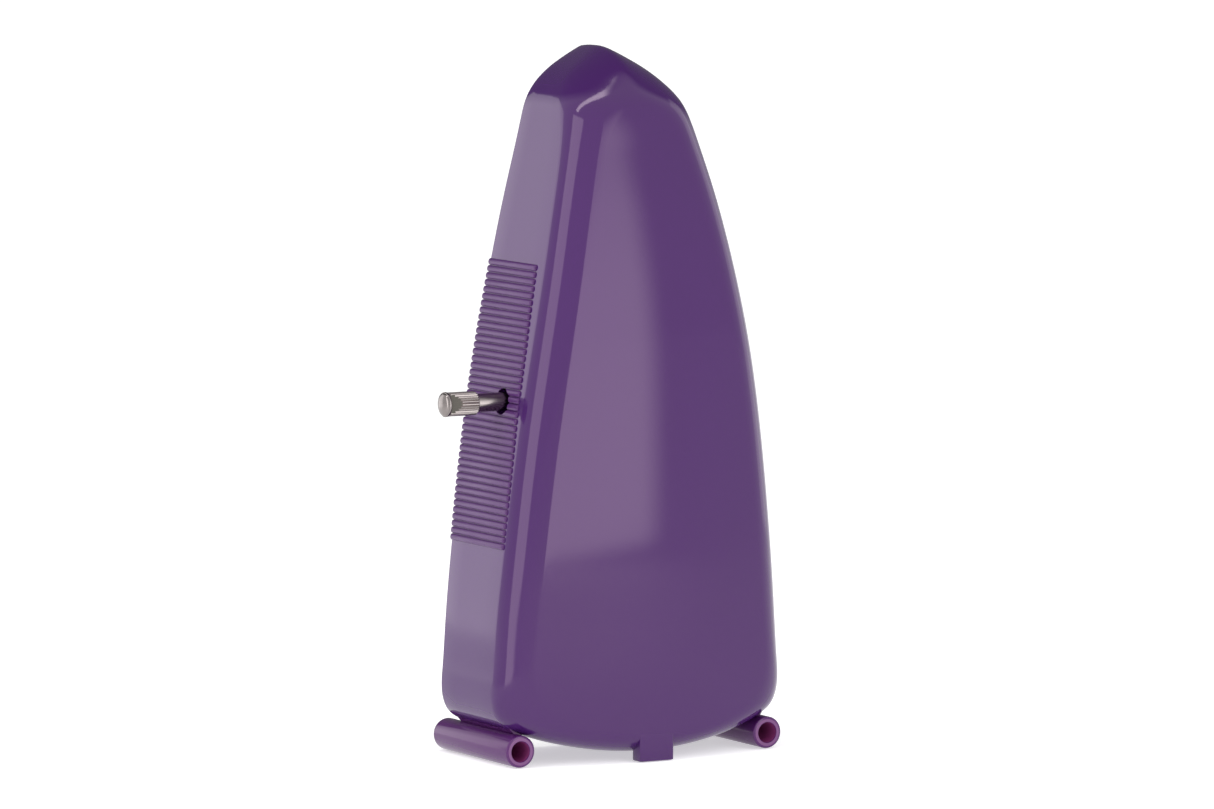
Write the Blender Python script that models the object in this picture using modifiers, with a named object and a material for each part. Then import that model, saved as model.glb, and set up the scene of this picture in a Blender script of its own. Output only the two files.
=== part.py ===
"""Wind-up pendulum metronome, modelled piece by piece.

Frame: +Z up, origin on the ground at the middle of the rear foot, front facing -Y,
winding key on the +X side. Every length below is written in millimetres and
turned into metres by MM. The pieces are drawn with y = 0 on the winding axis and
moved back as one at the end, so that the rear foot stands on the origin.
"""
import math

import bmesh
import bpy
from mathutils import Matrix, Vector

MM = 0.001
GAP = 0.3

# ---------------------------------------------------------------- case shape
# Half outline of the case seen from the front (x, z), from the middle of the
# bottom round to the apex, and the matching outline of the flat of the back.
FRONT_OUTLINE = (
    (0, 1.7), (9, 2.1), (18, 3.5), (26, 5.5), (32, 7.75), (35.2, 10.0),
    (36.6, 13.5), (36.75, 17), (36.3, 22), (35.4, 35), (33.85, 50), (32.1, 65),
    (30.0, 80), (27.4, 95), (24.3, 110), (20.9, 125), (17.75, 137),
    (16.15, 143.5), (14.9, 147.9), (12.5, 151.7), (8.9, 155.0), (5.0, 157.5),
    (2.2, 159.1), (0, 160.0),
)
BACK_OUTLINE = (
    (0, 6.2), (8, 6.5), (15.5, 7.5), (21.5, 9.5), (25.8, 11.8), (28.3, 14.8),
    (29.4, 18.8), (29.7, 22), (29.3, 26), (28.4, 37), (26.85, 51), (25.1, 65.5),
    (23.0, 80), (20.4, 95), (17.3, 109.5), (13.9, 124), (10.9, 134.5),
    (9.75, 138.6), (9.0, 141.1), (7.9, 143.0), (6.2, 144.7), (3.7, 146.6),
    (1.3, 148.0), (0, 148.3),
)
# Depth of the back along its centre line (z, y of the outer surface), and how fast
# its crown falls away towards the sides (y = depth - BACK_CROWN * x * x).
BACK_DEPTH = (
    (0, 17.5), (10, 17.3), (30, 17.2), (50, 17.65), (80, 18.0), (95, 17.75),
    (110, 16.6), (125, 14.5), (137, 12.15), (147, 9.9), (153, 6.6), (160, 3.6),
)
BACK_CROWN = 0.0029
BACK_COLUMNS = 8
FRONT_Y = -17.0
# Depth of the rounded edge round the back (z of the side wall, depth).
EDGE_DEPTH = ((0, 7.0), (130, 7.0), (140, 7.5), (150, 11.2), (156, 12.9), (160, 14.5))
EDGE_STEPS = 5
WALL = 2.0

# ----------------------------------------------------------------- grip ribs
RIB_COUNT = 41
RIB_PITCH = 1.55
RIB_BOTTOM_Z = 49.4
RIB_PROUD = 0.5
RIB_HALF_HEIGHT = 0.64
RIB_ROOT = 0.9
RIB_REAR = ((49, 7.7), (64, 7.9), (93, 6.8), (112, 4.9))

# ---------------------------------------------------------------------- feet
TUBE_X = 32.0
TUBE_RADIUS = 3.63
TUBE_BORE = 2.3
TUBE_FRONT_Y = -24.2
TUBE_REAR_Y = 11.9
TUBE_BORE_DEPTH = 30.0
SADDLE_X = (29.8, 33.0)
SADDLE_Y = (-16.4, 5.0)
PEG_RADIUS = 1.3
PEG_Y = -6.0
BLOCK_HALF_WIDTH = 4.33
BLOCK_Y = (13.7, 17.4)
BLOCK_TOP = 7.4
REAR_FOOT_Y = sum(BLOCK_Y) / 2

# --------------------------------------------------------------- front panel
PANEL_Y = (-15.1, -13.9)
PANEL_INSET = 2.35
SCALE_THICKNESS = 0.5
SCALE_Z = (70.0, 142.0)
SCALE_HALF_WIDTH = (10.5, 7.5)
CATCH_Z = (144.6, 147.4)
PANEL_SCREWS = {"top": (0.0, 152.0), "right": (27.0, 20.0), "left": (-27.0, 20.0)}

# ----------------------------------------------------------- movement layout
KEY_Z = 81.3
PLATE_X = (12.3, 13.7)
PLATE_Y = 10.2
PLATE_Z = (49.4, 97.6)
PILLARS = {"front_lower": (-7.2, 52.0), "rear_lower": (7.2, 52.0),
           "front_upper": (-7.2, 94.6), "rear_upper": (7.2, 94.6)}
BRIDGE_Y = (7.4, 8.6)
BRIDGE_TONGUE_HALF = 1.6
BRIDGE_HALF_HEIGHT = 2.5
LUG_X = 18.5
LUG_END_X = 21.5

# ------------------------------------------------------------------- gearing
GREAT_TEETH = 60
GREAT_MODULE = 0.40
SECOND_PINION_TEETH = 12
SECOND_TEETH = 48
SECOND_MODULE = 0.35
ESCAPE_PINION_TEETH = 8
SECOND_Z = KEY_Z - GREAT_MODULE * (GREAT_TEETH + SECOND_PINION_TEETH) / 2
ESCAPE_Z = SECOND_Z - SECOND_MODULE * (SECOND_TEETH + ESCAPE_PINION_TEETH) / 2
ESCAPE_TEETH = 15
ESCAPE_RADIUS = 6.5
RATCHET_TEETH = 20
RATCHET_TIP = 6.2
RATCHET_ROOT = 5.1
RATCHET_PHASE = 3.0
RATCHET_X = (14.1, 15.5)
CLICK_PIVOT = (-6.8, KEY_Z + 6.8)
SPRING_ANCHOR = (3.0, 94.4)
KEY_FLAT_ANGLE = 98.0
# A tooth of one wheel points at a gap of the next where they meet.
SECOND_PINION_PHASE = 90.0 + 180.0 / SECOND_PINION_TEETH
SECOND_PHASE = -90.0
ESCAPE_PINION_PHASE = 90.0 + 180.0 / ESCAPE_PINION_TEETH

# ------------------------------------------------------------------ pendulum
PIVOT_Z = ESCAPE_Z + 2.0
VERGE_RADIUS = 0.8
ROD_Y = -19.6
ROD_RADIUS = 0.8
ROD_TOP = 147.5
WEIGHT_Z = 108.0
WEIGHT_HEIGHT = 11.0
BOB_DROP = 23.0
BOB_RADIUS = 10.5

COLLECTION = "metronome"
PURPLE = (0.115, 0.052, 0.155)
NICKEL = (0.52, 0.50, 0.47)
STEEL = (0.42, 0.43, 0.45)
BRASS = (0.62, 0.44, 0.16)

# Local frames: a piece is drawn in its own XY plane with Z as its thickness or
# turning axis. ALONG_X lays the drawing in the YZ plane, ALONG_Y in the XZ plane.
ALONG_X = Matrix(((0, 0, 1), (1, 0, 0), (0, 1, 0))).to_4x4()
ALONG_Y = Matrix(((1, 0, 0), (0, 0, -1), (0, 1, 0))).to_4x4()
ALONG_Z = Matrix.Identity(4)
# Turning axis along +Y, for pieces whose profile heights are y values.
FACING_BACK = Matrix(((1, 0, 0), (0, 0, 1), (0, -1, 0))).to_4x4()


# ------------------------------------------------------------------- helpers
def clear_scene():
    for obj in list(bpy.data.objects):
        bpy.data.objects.remove(obj, do_unlink=True)


def new_collection(name):
    collection = bpy.data.collections.new(name)
    bpy.context.scene.collection.children.link(collection)
    return collection


def make_material(name, colour, roughness, metallic=0.0):
    material = bpy.data.materials.new(name)
    material.use_nodes = True
    shader = material.node_tree.nodes["Principled BSDF"]
    shader.inputs["Base Color"].default_value = (*colour, 1.0)
    shader.inputs["Roughness"].default_value = roughness
    shader.inputs["Metallic"].default_value = metallic
    material.diffuse_color = (*colour, 1.0)
    return material


def add_object(name, mesh, frame=ALONG_Z, at=(0, 0, 0)):
    obj = bpy.data.objects.new(name, mesh)
    parts.objects.link(obj)
    obj.matrix_world = Matrix.Translation(Vector(at) * MM) @ frame
    return obj


def finish(obj, colour, roughness, metallic=0.0):
    obj.data.materials.clear()
    obj.data.materials.append(make_material(obj.name, colour, roughness, metallic))
    return obj


def as_cutter(obj):
    for collection in list(obj.users_collection):
        collection.objects.unlink(obj)
    cutters.objects.link(obj)
    obj.hide_render = True
    obj.display_type = "WIRE"
    return obj


def boolean(obj, other, operation):
    as_cutter(other)
    modifier = obj.modifiers.new(other.name, "BOOLEAN")
    modifier.operation = operation
    modifier.object = other
    return obj


def fuse(obj, *others):
    for other in others:
        boolean(obj, other, "UNION")
    return obj


def cut(obj, *others):
    for other in others:
        boolean(obj, other, "DIFFERENCE")
    return obj


def plate(name, outline, thickness, holes=(), frame=ALONG_Z, at=(0, 0, 0)):
    """A flat piece: closed outlines filled and given a thickness centred on at."""
    curve = bpy.data.curves.new(name, "CURVE")
    curve.dimensions = "2D"
    curve.fill_mode = "BOTH"
    curve.extrude = thickness * MM / 2
    for loop in (outline, *holes):
        spline = curve.splines.new("POLY")
        spline.points.add(len(loop) - 1)
        for point, (u, v) in zip(spline.points, loop):
            point.co = (u * MM, v * MM, 0, 1)
        spline.use_cyclic_u = True
    guide = bpy.data.objects.new(name + "_outline", curve)
    parts.objects.link(guide)
    bpy.context.view_layer.update()
    source = guide.evaluated_get(bpy.context.evaluated_depsgraph_get())
    mesh = bpy.data.meshes.new_from_object(source)
    bpy.data.objects.remove(guide, do_unlink=True)
    bm = bmesh.new()
    bm.from_mesh(mesh)
    bmesh.ops.remove_doubles(bm, verts=bm.verts, dist=1e-6)
    bmesh.ops.recalc_face_normals(bm, faces=bm.faces)
    bm.to_mesh(mesh)
    bm.free()
    mesh.name = name
    return add_object(name, mesh, frame, at)


def turned(name, profile, steps, frame=ALONG_Z, at=(0, 0, 0), bored=False):
    """A turned piece: (radius, height) points, top to bottom down the outer side."""
    mesh = bpy.data.meshes.new(name)
    bm = bmesh.new()
    verts = [bm.verts.new((radius * MM, 0, height * MM)) for radius, height in profile]
    for first, second in zip(verts, verts[1:]):
        bm.edges.new((first, second))
    if bored:
        bm.edges.new((verts[-1], verts[0]))
    bm.to_mesh(mesh)
    bm.free()
    obj = add_object(name, mesh, frame, at)
    screw = obj.modifiers.new("turn", "SCREW")
    screw.axis = "Z"
    screw.steps = steps
    screw.render_steps = steps
    screw.use_merge_vertices = True
    screw.merge_threshold = 1e-6
    screw.use_smooth_shade = False
    return obj


def pin(name, radius, low, high, steps=16, frame=ALONG_Z, at=(0, 0, 0)):
    """A plain cylinder between two heights on its axis."""
    mesh = bpy.data.meshes.new(name)
    bm = bmesh.new()
    bmesh.ops.create_cone(bm, cap_ends=True, segments=steps, radius1=radius * MM,
                          radius2=radius * MM, depth=(high - low) * MM)
    bmesh.ops.translate(bm, vec=(0, 0, (high + low) * MM / 2), verts=bm.verts)
    bm.to_mesh(mesh)
    bm.free()
    return add_object(name, mesh, frame, at)


def box(name, low, high):
    """A rectangular block between two corners."""
    mesh = bpy.data.meshes.new(name)
    bm = bmesh.new()
    bmesh.ops.create_cube(bm, size=1.0)
    size = [(b - a) * MM for a, b in zip(low, high)]
    centre = [(a + b) * MM / 2 for a, b in zip(low, high)]
    bmesh.ops.scale(bm, vec=size, verts=bm.verts)
    bmesh.ops.translate(bm, vec=centre, verts=bm.verts)
    bm.to_mesh(mesh)
    bm.free()
    return add_object(name, mesh)


def arc(centre, radius, start, end, steps):
    """Points along an arc, angles in degrees."""
    points = []
    for step in range(steps + 1):
        angle = math.radians(start + (end - start) * step / steps)
        points.append((centre[0] + radius * math.cos(angle),
                       centre[1] + radius * math.sin(angle)))
    return points


def circle(radius, steps=16, centre=(0, 0)):
    return arc(centre, radius, 0, 360 - 360 / steps, steps - 1)


def rounded_rectangle(low, high, radius, steps=3):
    (u0, v0), (u1, v1) = low, high
    return (arc((u1 - radius, v1 - radius), radius, 0, 90, steps)
            + arc((u0 + radius, v1 - radius), radius, 90, 180, steps)
            + arc((u0 + radius, v0 + radius), radius, 180, 270, steps)
            + arc((u1 - radius, v0 + radius), radius, 270, 360, steps))


def interpolate(table, value):
    """Straight-line reading of a two-column table."""
    if value <= table[0][0]:
        return table[0][1]
    for (a, fa), (b, fb) in zip(table, table[1:]):
        if value <= b:
            return fa + (fb - fa) * (value - a) / (b - a)
    return table[-1][1]


def smooth_reading(table, value):
    """Catmull-Rom reading of a two-column table, for bowed surfaces."""
    index = 0
    while index < len(table) - 2 and value > table[index + 1][0]:
        index += 1
    x1, y1 = table[index]
    x2, y2 = table[index + 1]
    x0, y0 = table[max(index - 1, 0)]
    x3, y3 = table[min(index + 2, len(table) - 1)]
    t = min(max((value - x1) / (x2 - x1), 0.0), 1.0)
    m1 = (y2 - y0) / max(x2 - x0, 1e-9) * (x2 - x1)
    m2 = (y3 - y1) / max(x3 - x1, 1e-9) * (x2 - x1)
    return ((2 * t**3 - 3 * t**2 + 1) * y1 + (t**3 - 2 * t**2 + t) * m1
            + (3 * t**2 - 2 * t**3) * y2 + (t**3 - t**2) * m2)


def back_y(x, z):
    """Crowned outer surface of the back."""
    return smooth_reading(BACK_DEPTH, z) - BACK_CROWN * x * x


def case_half_width(z):
    """Half width of the case's side wall at a height."""
    wall = [(height, x) for x, height in FRONT_OUTLINE[6:20]]
    return smooth_reading(wall, z)


def mirrored(half):
    """Full outline from a half that starts and ends on the centre line."""
    return list(half) + [(-x, z) for x, z in reversed(half[1:-1])]


def inset_outline(outline, distance):
    """Outline moved inward along its corner normals."""
    points = []
    count = len(outline)
    for index, (x, z) in enumerate(outline):
        before = outline[index - 1]
        after = outline[(index + 1) % count]
        along = Vector((after[0] - before[0], after[1] - before[1])).normalized()
        points.append((x - along.y * distance, z + along.x * distance))
    return points


def gear_outline(teeth, module, phase=0.0, tooth=0.36, addendum=0.85, dedendum=1.2):
    """Plain tapered teeth with working backlash; phase in degrees."""
    pitch_radius = teeth * module / 2
    tip = pitch_radius + addendum * module
    root = pitch_radius - dedendum * module
    step = 360 / teeth
    points = []
    for index in range(teeth):
        middle = phase + index * step
        for share, radius in ((-0.62 * tooth - 0.06, root), (-0.26 * tooth, tip),
                              (0.26 * tooth, tip), (0.62 * tooth + 0.06, root)):
            angle = math.radians(middle + share * step)
            points.append((radius * math.cos(angle), radius * math.sin(angle)))
    return points


# ---------------------------------------------------------------------- case
def case_skin():
    """Open outer surface of the case: side walls, bowed back and rounded edge."""
    front = mirrored(FRONT_OUTLINE)
    back = mirrored(BACK_OUTLINE)
    count = len(front)
    mesh = bpy.data.meshes.new("rear_case")
    bm = bmesh.new()
    rings = [[bm.verts.new((x * MM, FRONT_Y * MM, z * MM)) for x, z in front]]
    for step in range(EDGE_STEPS + 1):
        angle = math.pi / 2 * step / EDGE_STEPS
        ring = []
        for (x0, z0), (x1, z1) in zip(front, back):
            share = 1 - math.cos(angle)
            x = x0 + (x1 - x0) * share
            z = z0 + (z1 - z0) * share
            y = back_y(x, z) - smooth_reading(EDGE_DEPTH, z0) * (1 - math.sin(angle))
            ring.append(bm.verts.new((x * MM, y * MM, z * MM)))
        rings.append(ring)
    for ring, following in zip(rings, rings[1:]):
        for index in range(count):
            after = (index + 1) % count
            bm.faces.new((ring[index], ring[after], following[after], following[index]))
    close_back(bm, rings[-1])
    bmesh.ops.recalc_face_normals(bm, faces=bm.faces)
    rearmost = max(bm.faces, key=lambda face: face.calc_center_median().y)
    if rearmost.normal.y < 0:
        bmesh.ops.reverse_faces(bm, faces=bm.faces)
    bm.to_mesh(mesh)
    bm.free()
    return add_object("rear_case", mesh)


def close_back(bm, ring):
    """Crowned sheet across the last ring, in rows from its right to its left side."""
    count = len(ring)
    half = count // 2
    rows = [[ring[0]]]
    for index in range(1, half):
        right, left = ring[index], ring[count - index]
        row = [right]
        for column in range(1, BACK_COLUMNS):
            share = column / BACK_COLUMNS
            x = (right.co.x + (left.co.x - right.co.x) * share) / MM
            z = right.co.z / MM
            row.append(bm.verts.new((x * MM, back_y(x, z) * MM, z * MM)))
        row.append(left)
        rows.append(row)
    rows.append([ring[half]])
    for row, following in zip(rows, rows[1:]):
        if len(row) == 1:
            for a, b in zip(following, following[1:]):
                bm.faces.new((row[0], a, b))
        elif len(following) == 1:
            for a, b in zip(row, row[1:]):
                bm.faces.new((a, following[0], b))
        else:
            for a, b, c, d in zip(row, row[1:], following[1:], following):
                bm.faces.new((a, b, c, d))


def rib_bars():
    """All grip ribs of both side walls, as separate bars in one cutter mesh."""
    profile = ((-RIB_ROOT, -0.9), (0.0, -1.0), (0.72, -0.72), (1.0, -0.2),
               (1.0, 0.2), (0.72, 0.72), (0.0, 1.0), (-RIB_ROOT, 0.9))
    mesh = bpy.data.meshes.new("grip_ribs")
    bm = bmesh.new()
    for side in (1, -1):
        for index in range(RIB_COUNT):
            z = RIB_BOTTOM_Z + RIB_PITCH * index
            rear = interpolate(RIB_REAR, z)
            wall = case_half_width(z)
            lean = case_half_width(z + 1) - case_half_width(z - 1)
            ends = []
            for y in (FRONT_Y + 0.1, rear):
                ring = []
                for out, up in profile:
                    proud = out * RIB_PROUD if out > 0 else out
                    rise = up * RIB_HALF_HEIGHT
                    x = wall + proud + rise * lean / 2
                    ring.append(bm.verts.new((side * x * MM, y * MM, (z + rise) * MM)))
                ends.append(ring)
            count = len(profile)
            for corner in range(count):
                after = (corner + 1) % count
                bm.faces.new((ends[0][corner], ends[0][after],
                              ends[1][after], ends[1][corner]))
            bm.faces.new(ends[0])
            bm.faces.new(ends[1])
    bmesh.ops.recalc_face_normals(bm, faces=bm.faces)
    bm.to_mesh(mesh)
    bm.free()
    return add_object("grip_ribs", mesh)


def rear_case():
    case = case_skin()
    shell = case.modifiers.new("wall", "SOLIDIFY")
    shell.thickness = WALL * MM
    shell.offset = -1.0
    shell.use_even_offset = True
    fuse(case, rib_bars())
    block = box("rear_block", (-BLOCK_HALF_WIDTH, BLOCK_Y[0], 0),
                (BLOCK_HALF_WIDTH, BLOCK_Y[1], BLOCK_TOP))
    fuse(case, block)
    lugs = {"right": (LUG_X, PIVOT_Z), "left": (-LUG_X, PIVOT_Z)}
    for name, (x, z) in PANEL_SCREWS.items():
        rear = 3.2 if name == "top" else 14.0
        fuse(case, pin("boss_" + name, 2.3, PANEL_Y[1] + GAP, rear, 12, FACING_BACK, (x, 0, z)))
    for name, (x, z) in lugs.items():
        fuse(case, pin("lug_boss_" + name, 2.2, BRIDGE_Y[1] + GAP, 15.6, 12, FACING_BACK,
                       (x, 0, z)))
    for name, (x, z) in PANEL_SCREWS.items():
        cut(case, pin("boss_hole_" + name, 1.05, -15.0, -6.0, 10, FACING_BACK, (x, 0, z)))
    for name, (x, z) in lugs.items():
        cut(case, pin("lug_hole_" + name, 0.95, 8.0, 13.6, 10, FACING_BACK, (x, 0, z)))
        cut(case, pin("peg_hole_" + name, PEG_RADIUS + 0.2, 4.0, 14.0, 10, ALONG_Z,
                      (math.copysign(TUBE_X, x), PEG_Y, 0)))
    cut(case, pin("key_hole", 2.95, 20.0, 40.0, 24, ALONG_X, (0, 0, KEY_Z)))
    return finish(case, PURPLE, 0.22)


def foot_tube(name, side):
    """Tubular foot: bored from the rear, rounded front end, saddle and peg on top."""
    x = side * TUBE_X
    nose = [(TUBE_RADIUS * math.sin(math.radians(a)), TUBE_FRONT_Y + TUBE_RADIUS * 0.55
             * (1 - math.cos(math.radians(a)))) for a in (90, 60, 35, 15, 0)]
    profile = [(TUBE_BORE, TUBE_REAR_Y), (TUBE_RADIUS - 0.35, TUBE_REAR_Y),
               (TUBE_RADIUS, TUBE_REAR_Y - 0.35)] + nose
    bottom = TUBE_REAR_Y - TUBE_BORE_DEPTH
    profile = [(0, bottom), (TUBE_BORE, bottom)] + profile
    tube = turned(name, profile, 24, FACING_BACK, (x, 0, TUBE_RADIUS))
    inner, outer = SADDLE_X
    section = [(inner, 6.0), (outer, 6.0), (outer, saddle_height(outer)),
               (inner, saddle_height(inner))]
    saddle = plate(name + "_saddle", [(side * u, v) for u, v in section],
                   SADDLE_Y[1] - SADDLE_Y[0], (), ALONG_Y,
                   (0, sum(SADDLE_Y) / 2, 0))
    peg = pin(name + "_peg", PEG_RADIUS, 6.2, 11.5, 12, ALONG_Z, (x, PEG_Y, 0))
    fuse(tube, saddle, peg)
    return finish(tube, PURPLE, 0.22)


def saddle_height(x):
    """Underside of the case at x, less the seating gap."""
    bottom = [point for point in FRONT_OUTLINE if point[1] < 11]
    return interpolate(bottom, x) - GAP


# --------------------------------------------------------------------- front
def front_panel():
    outline = inset_outline(mirrored(FRONT_OUTLINE), PANEL_INSET)
    holes = [circle(1.1, 12, centre) for centre in PANEL_SCREWS.values()]
    holes.append(circle(2.2, 16, (0, PIVOT_Z)))
    panel = plate("front_panel", outline, PANEL_Y[1] - PANEL_Y[0], holes, ALONG_Y,
                  (0, sum(PANEL_Y) / 2, 0))
    return finish(panel, (0.02, 0.02, 0.024), 0.4)


def tempo_scale():
    low, high = SCALE_Z
    bottom, top = SCALE_HALF_WIDTH
    outline = [(bottom, low + 1), (top, high - 1), (top - 1, high), (1 - top, high),
               (-top, high - 1), (-bottom, low + 1), (1 - bottom, low), (bottom - 1, low)]
    y = PANEL_Y[0] - GAP - SCALE_THICKNESS / 2
    scale = plate("tempo_scale", outline, SCALE_THICKNESS, (), ALONG_Y, (0, y, 0))
    return finish(scale, (0.66, 0.66, 0.67), 0.35, 0.9)


def rod_catch():
    """Small clip: two prongs behind the rod's tip."""
    back = PANEL_Y[0] - GAP
    outline = [(-3.2, back), (-3.2, back - 0.6), (-1.6, back - 0.6), (-1.6, -18.4),
               (-1.0, -18.4), (-1.0, back - 0.6), (1.0, back - 0.6), (1.0, -18.4),
               (1.6, -18.4), (1.6, back - 0.6), (3.2, back - 0.6), (3.2, back)]
    catch = plate("rod_catch", outline, CATCH_Z[1] - CATCH_Z[0], (), ALONG_Z,
                  (0, 0, sum(CATCH_Z) / 2))
    return finish(catch, STEEL, 0.3, 1.0)


def round_screw(name, head_radius, head_height, shank_radius, length, frame, at):
    """Screw with its head's underside at height 0 and its shank below."""
    slot_floor = head_height * 0.55
    profile = ((0, head_height), (head_radius * 0.75, head_height),
               (head_radius, head_height * 0.5), (head_radius, 0),
               (shank_radius, 0), (shank_radius, -length), (0, -length))
    screw = turned(name, profile, 16, frame, at)
    slot = box(name + "_slot", (-head_radius * 1.5, -0.25, slot_floor),
               (head_radius * 1.5, 0.25, head_height * 2))
    slot.matrix_world = screw.matrix_world.copy()
    cut(screw, slot)
    return finish(screw, STEEL, 0.3, 1.0)


# ------------------------------------------------------------------ movement
def frame_plate(name, side):
    """Movement plate with pivot holes, bridge slots and pillar holes."""
    outline = rounded_rectangle((-PLATE_Y, PLATE_Z[0]), (PLATE_Y, PLATE_Z[1]), 2.5)
    holes = [circle(1.5, 16, (0, KEY_Z)), circle(0.7, 10, (0, SECOND_Z)),
             circle(0.7, 10, (0, ESCAPE_Z))]
    holes += [circle(0.85 if side > 0 else 1.1, 10, centre) for centre in PILLARS.values()]
    for near, far in (BRIDGE_Y, (-BRIDGE_Y[1], -BRIDGE_Y[0])):
        half = BRIDGE_TONGUE_HALF + GAP
        holes.append([(near - GAP, PIVOT_Z - half), (far + GAP, PIVOT_Z - half),
                      (far + GAP, PIVOT_Z + half), (near - GAP, PIVOT_Z + half)])
    if side > 0:
        holes.append(circle(0.85, 10, CLICK_PIVOT))
        holes.append(circle(0.75, 10, SPRING_ANCHOR))
    obj = plate(name, outline, PLATE_X[1] - PLATE_X[0], holes, ALONG_X,
                (side * sum(PLATE_X) / 2, 0, 0))
    return finish(obj, BRASS, 0.35, 1.0)


def pillar(name, y, z):
    """Spacer: riveted through the left plate, drilled for a screw at the right."""
    face = PLATE_X[0] - GAP
    profile = ((0, face - 4.5), (0.9, face - 4.5), (0.9, face), (1.5, face),
               (1.5, -face), (0.9, -face), (0.9, -PLATE_X[1] - 0.5), (0, -PLATE_X[1] - 0.5))
    return finish(turned(name, profile, 14, ALONG_X, (0, y, z)), STEEL, 0.35, 1.0)


def bridge(name, side, end_x):
    """Bearing bar of the pendulum arbor, tongued through both plates."""
    holes = [circle(VERGE_RADIUS + 0.1, 16)]
    if end_x > PLATE_X[1] + 2:
        holes += [circle(1.0, 12, (LUG_X, 0)), circle(1.0, 12, (-LUG_X, 0))]
    y = side * sum(BRIDGE_Y) / 2
    obj = plate(name, bridge_outline(end_x), BRIDGE_Y[1] - BRIDGE_Y[0], holes, ALONG_Y,
                (0, y, PIVOT_Z))
    return finish(obj, BRASS, 0.35, 1.0)


def bridge_outline(end_x):
    """Outline of a bearing bar: tall middle, narrower tongues."""
    step = PLATE_X[0] - GAP
    tongue = BRIDGE_TONGUE_HALF
    tall = BRIDGE_HALF_HEIGHT
    return [(end_x, -tongue), (end_x, tongue), (step, tongue), (step, tall),
            (-step, tall), (-step, tongue), (-end_x, tongue), (-end_x, -tongue),
            (-step, -tongue), (-step, -tall), (step, -tall), (step, -tongue)]


def winding_key():
    """Knurled key head with domed end and two thumb flats, on a plain shaft."""
    head = (37.1, 44.3)
    rim = 44.9
    bore_end = 24.0
    dome = [(2.83 * math.sin(math.radians(a)), rim + 0.9 * (math.cos(math.radians(a))))
            for a in (0, 25, 50, 70, 90)]
    profile = [*dome, (2.83, head[1]), (2.45, head[1]), (2.45, head[0]), (2.1, head[0]),
               (2.1, 17.2), (1.25, 17.2), (1.25, bore_end), (0, bore_end)]
    key = turned("winding_key", profile, 24, ALONG_X, (0, 0, KEY_Z))
    ridges = 26
    outline = []
    for index in range(ridges):
        middle = 360 / ridges * index
        for share, radius in ((-0.42, 2.5), (-0.2, 2.7), (0.2, 2.7), (0.42, 2.5)):
            angle = math.radians(middle + share * 360 / ridges)
            outline.append((radius * math.cos(angle), radius * math.sin(angle)))
    knurl = plate("key_knurl", outline, head[1] - head[0] + 0.1, (), ALONG_X,
                  (sum(head) / 2 + 0.05, 0, KEY_Z))
    fuse(key, knurl)
    for turn in (0, 180):
        wedge = box("key_flat", (41.6, -4.0, 0.0), (44.2, 4.0, 3.0))
        tilt = Matrix.Rotation(math.radians(27), 4, "Y")
        lift = Matrix.Translation(Vector((41.6, 0, 2.75)) * MM)
        drop = Matrix.Translation(Vector((-41.6, 0, 0)) * MM)
        spin = Matrix.Rotation(math.radians(turn + KEY_FLAT_ANGLE), 4, "X")
        centre = Matrix.Translation(Vector((0, 0, KEY_Z)) * MM)
        wedge.matrix_world = centre @ spin @ lift @ tilt @ drop
        cut(key, wedge)
    return finish(key, NICKEL, 0.25, 1.0)


def winding_arbor():
    profile = ((0, 23.4), (1.15, 23.4), (1.15, 16.6), (1.4, 16.6), (1.4, 4.0), (2.2, 4.0),
               (2.2, -4.0), (1.4, -4.0), (1.4, -14.4), (0, -14.4))
    return finish(turned("winding_arbor", profile, 16, ALONG_X, (0, 0, KEY_Z)), STEEL, 0.3, 1.0)


def ratchet_wheel():
    """Saw-toothed wheel: slopes rise towards a radial face."""
    outline = []
    step = 360 / RATCHET_TEETH
    for index in range(RATCHET_TEETH):
        face = math.radians(RATCHET_PHASE + index * step)
        before = face - math.radians(0.6)
        outline.append((RATCHET_TIP * math.cos(before), RATCHET_TIP * math.sin(before)))
        outline.append((RATCHET_ROOT * math.cos(face), RATCHET_ROOT * math.sin(face)))
    wheel = plate("ratchet_wheel", outline, RATCHET_X[1] - RATCHET_X[0], [circle(1.5, 16)],
                  ALONG_X, (sum(RATCHET_X) / 2, 0, KEY_Z))
    return finish(wheel, STEEL, 0.3, 1.0)


def click():
    """Pawl riding the ratchet tips, its origin on its screw."""
    tip_y = -0.5 - CLICK_PIVOT[0]
    tip_z = 6.35 - (CLICK_PIVOT[1] - KEY_Z)
    outline = arc((0, 0), 1.6, 70, 280, 8)
    outline += [(1.6, -1.2), (tip_y - 1.5, tip_z + 0.25), (tip_y - 0.4, tip_z),
                (tip_y, tip_z), (tip_y, tip_z + 0.6), (tip_y - 1.6, tip_z + 1.5)]
    obj = plate("click", outline, 1.2, [circle(0.8, 10)], ALONG_X,
                (14.7, CLICK_PIVOT[0], CLICK_PIVOT[1]))
    return finish(obj, STEEL, 0.3, 1.0)


def click_spring():
    """Flat bent spring from its anchor screw to the back of the click."""
    middle = SPRING_ANCHOR
    tail = (-3.2, 90.6)
    outline = arc(middle, 1.3, -150, 140, 8)
    outline += [(-0.6, middle[1] + 0.4), (tail[0] - 0.4, tail[1] + 0.35),
                (tail[0], tail[1]), (-0.5, middle[1] - 0.1)]
    obj = plate("click_spring", outline, 0.9, [circle(0.8, 10, middle)], ALONG_X,
                (14.55, 0, 0))
    return finish(obj, STEEL, 0.3, 1.0)


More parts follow.
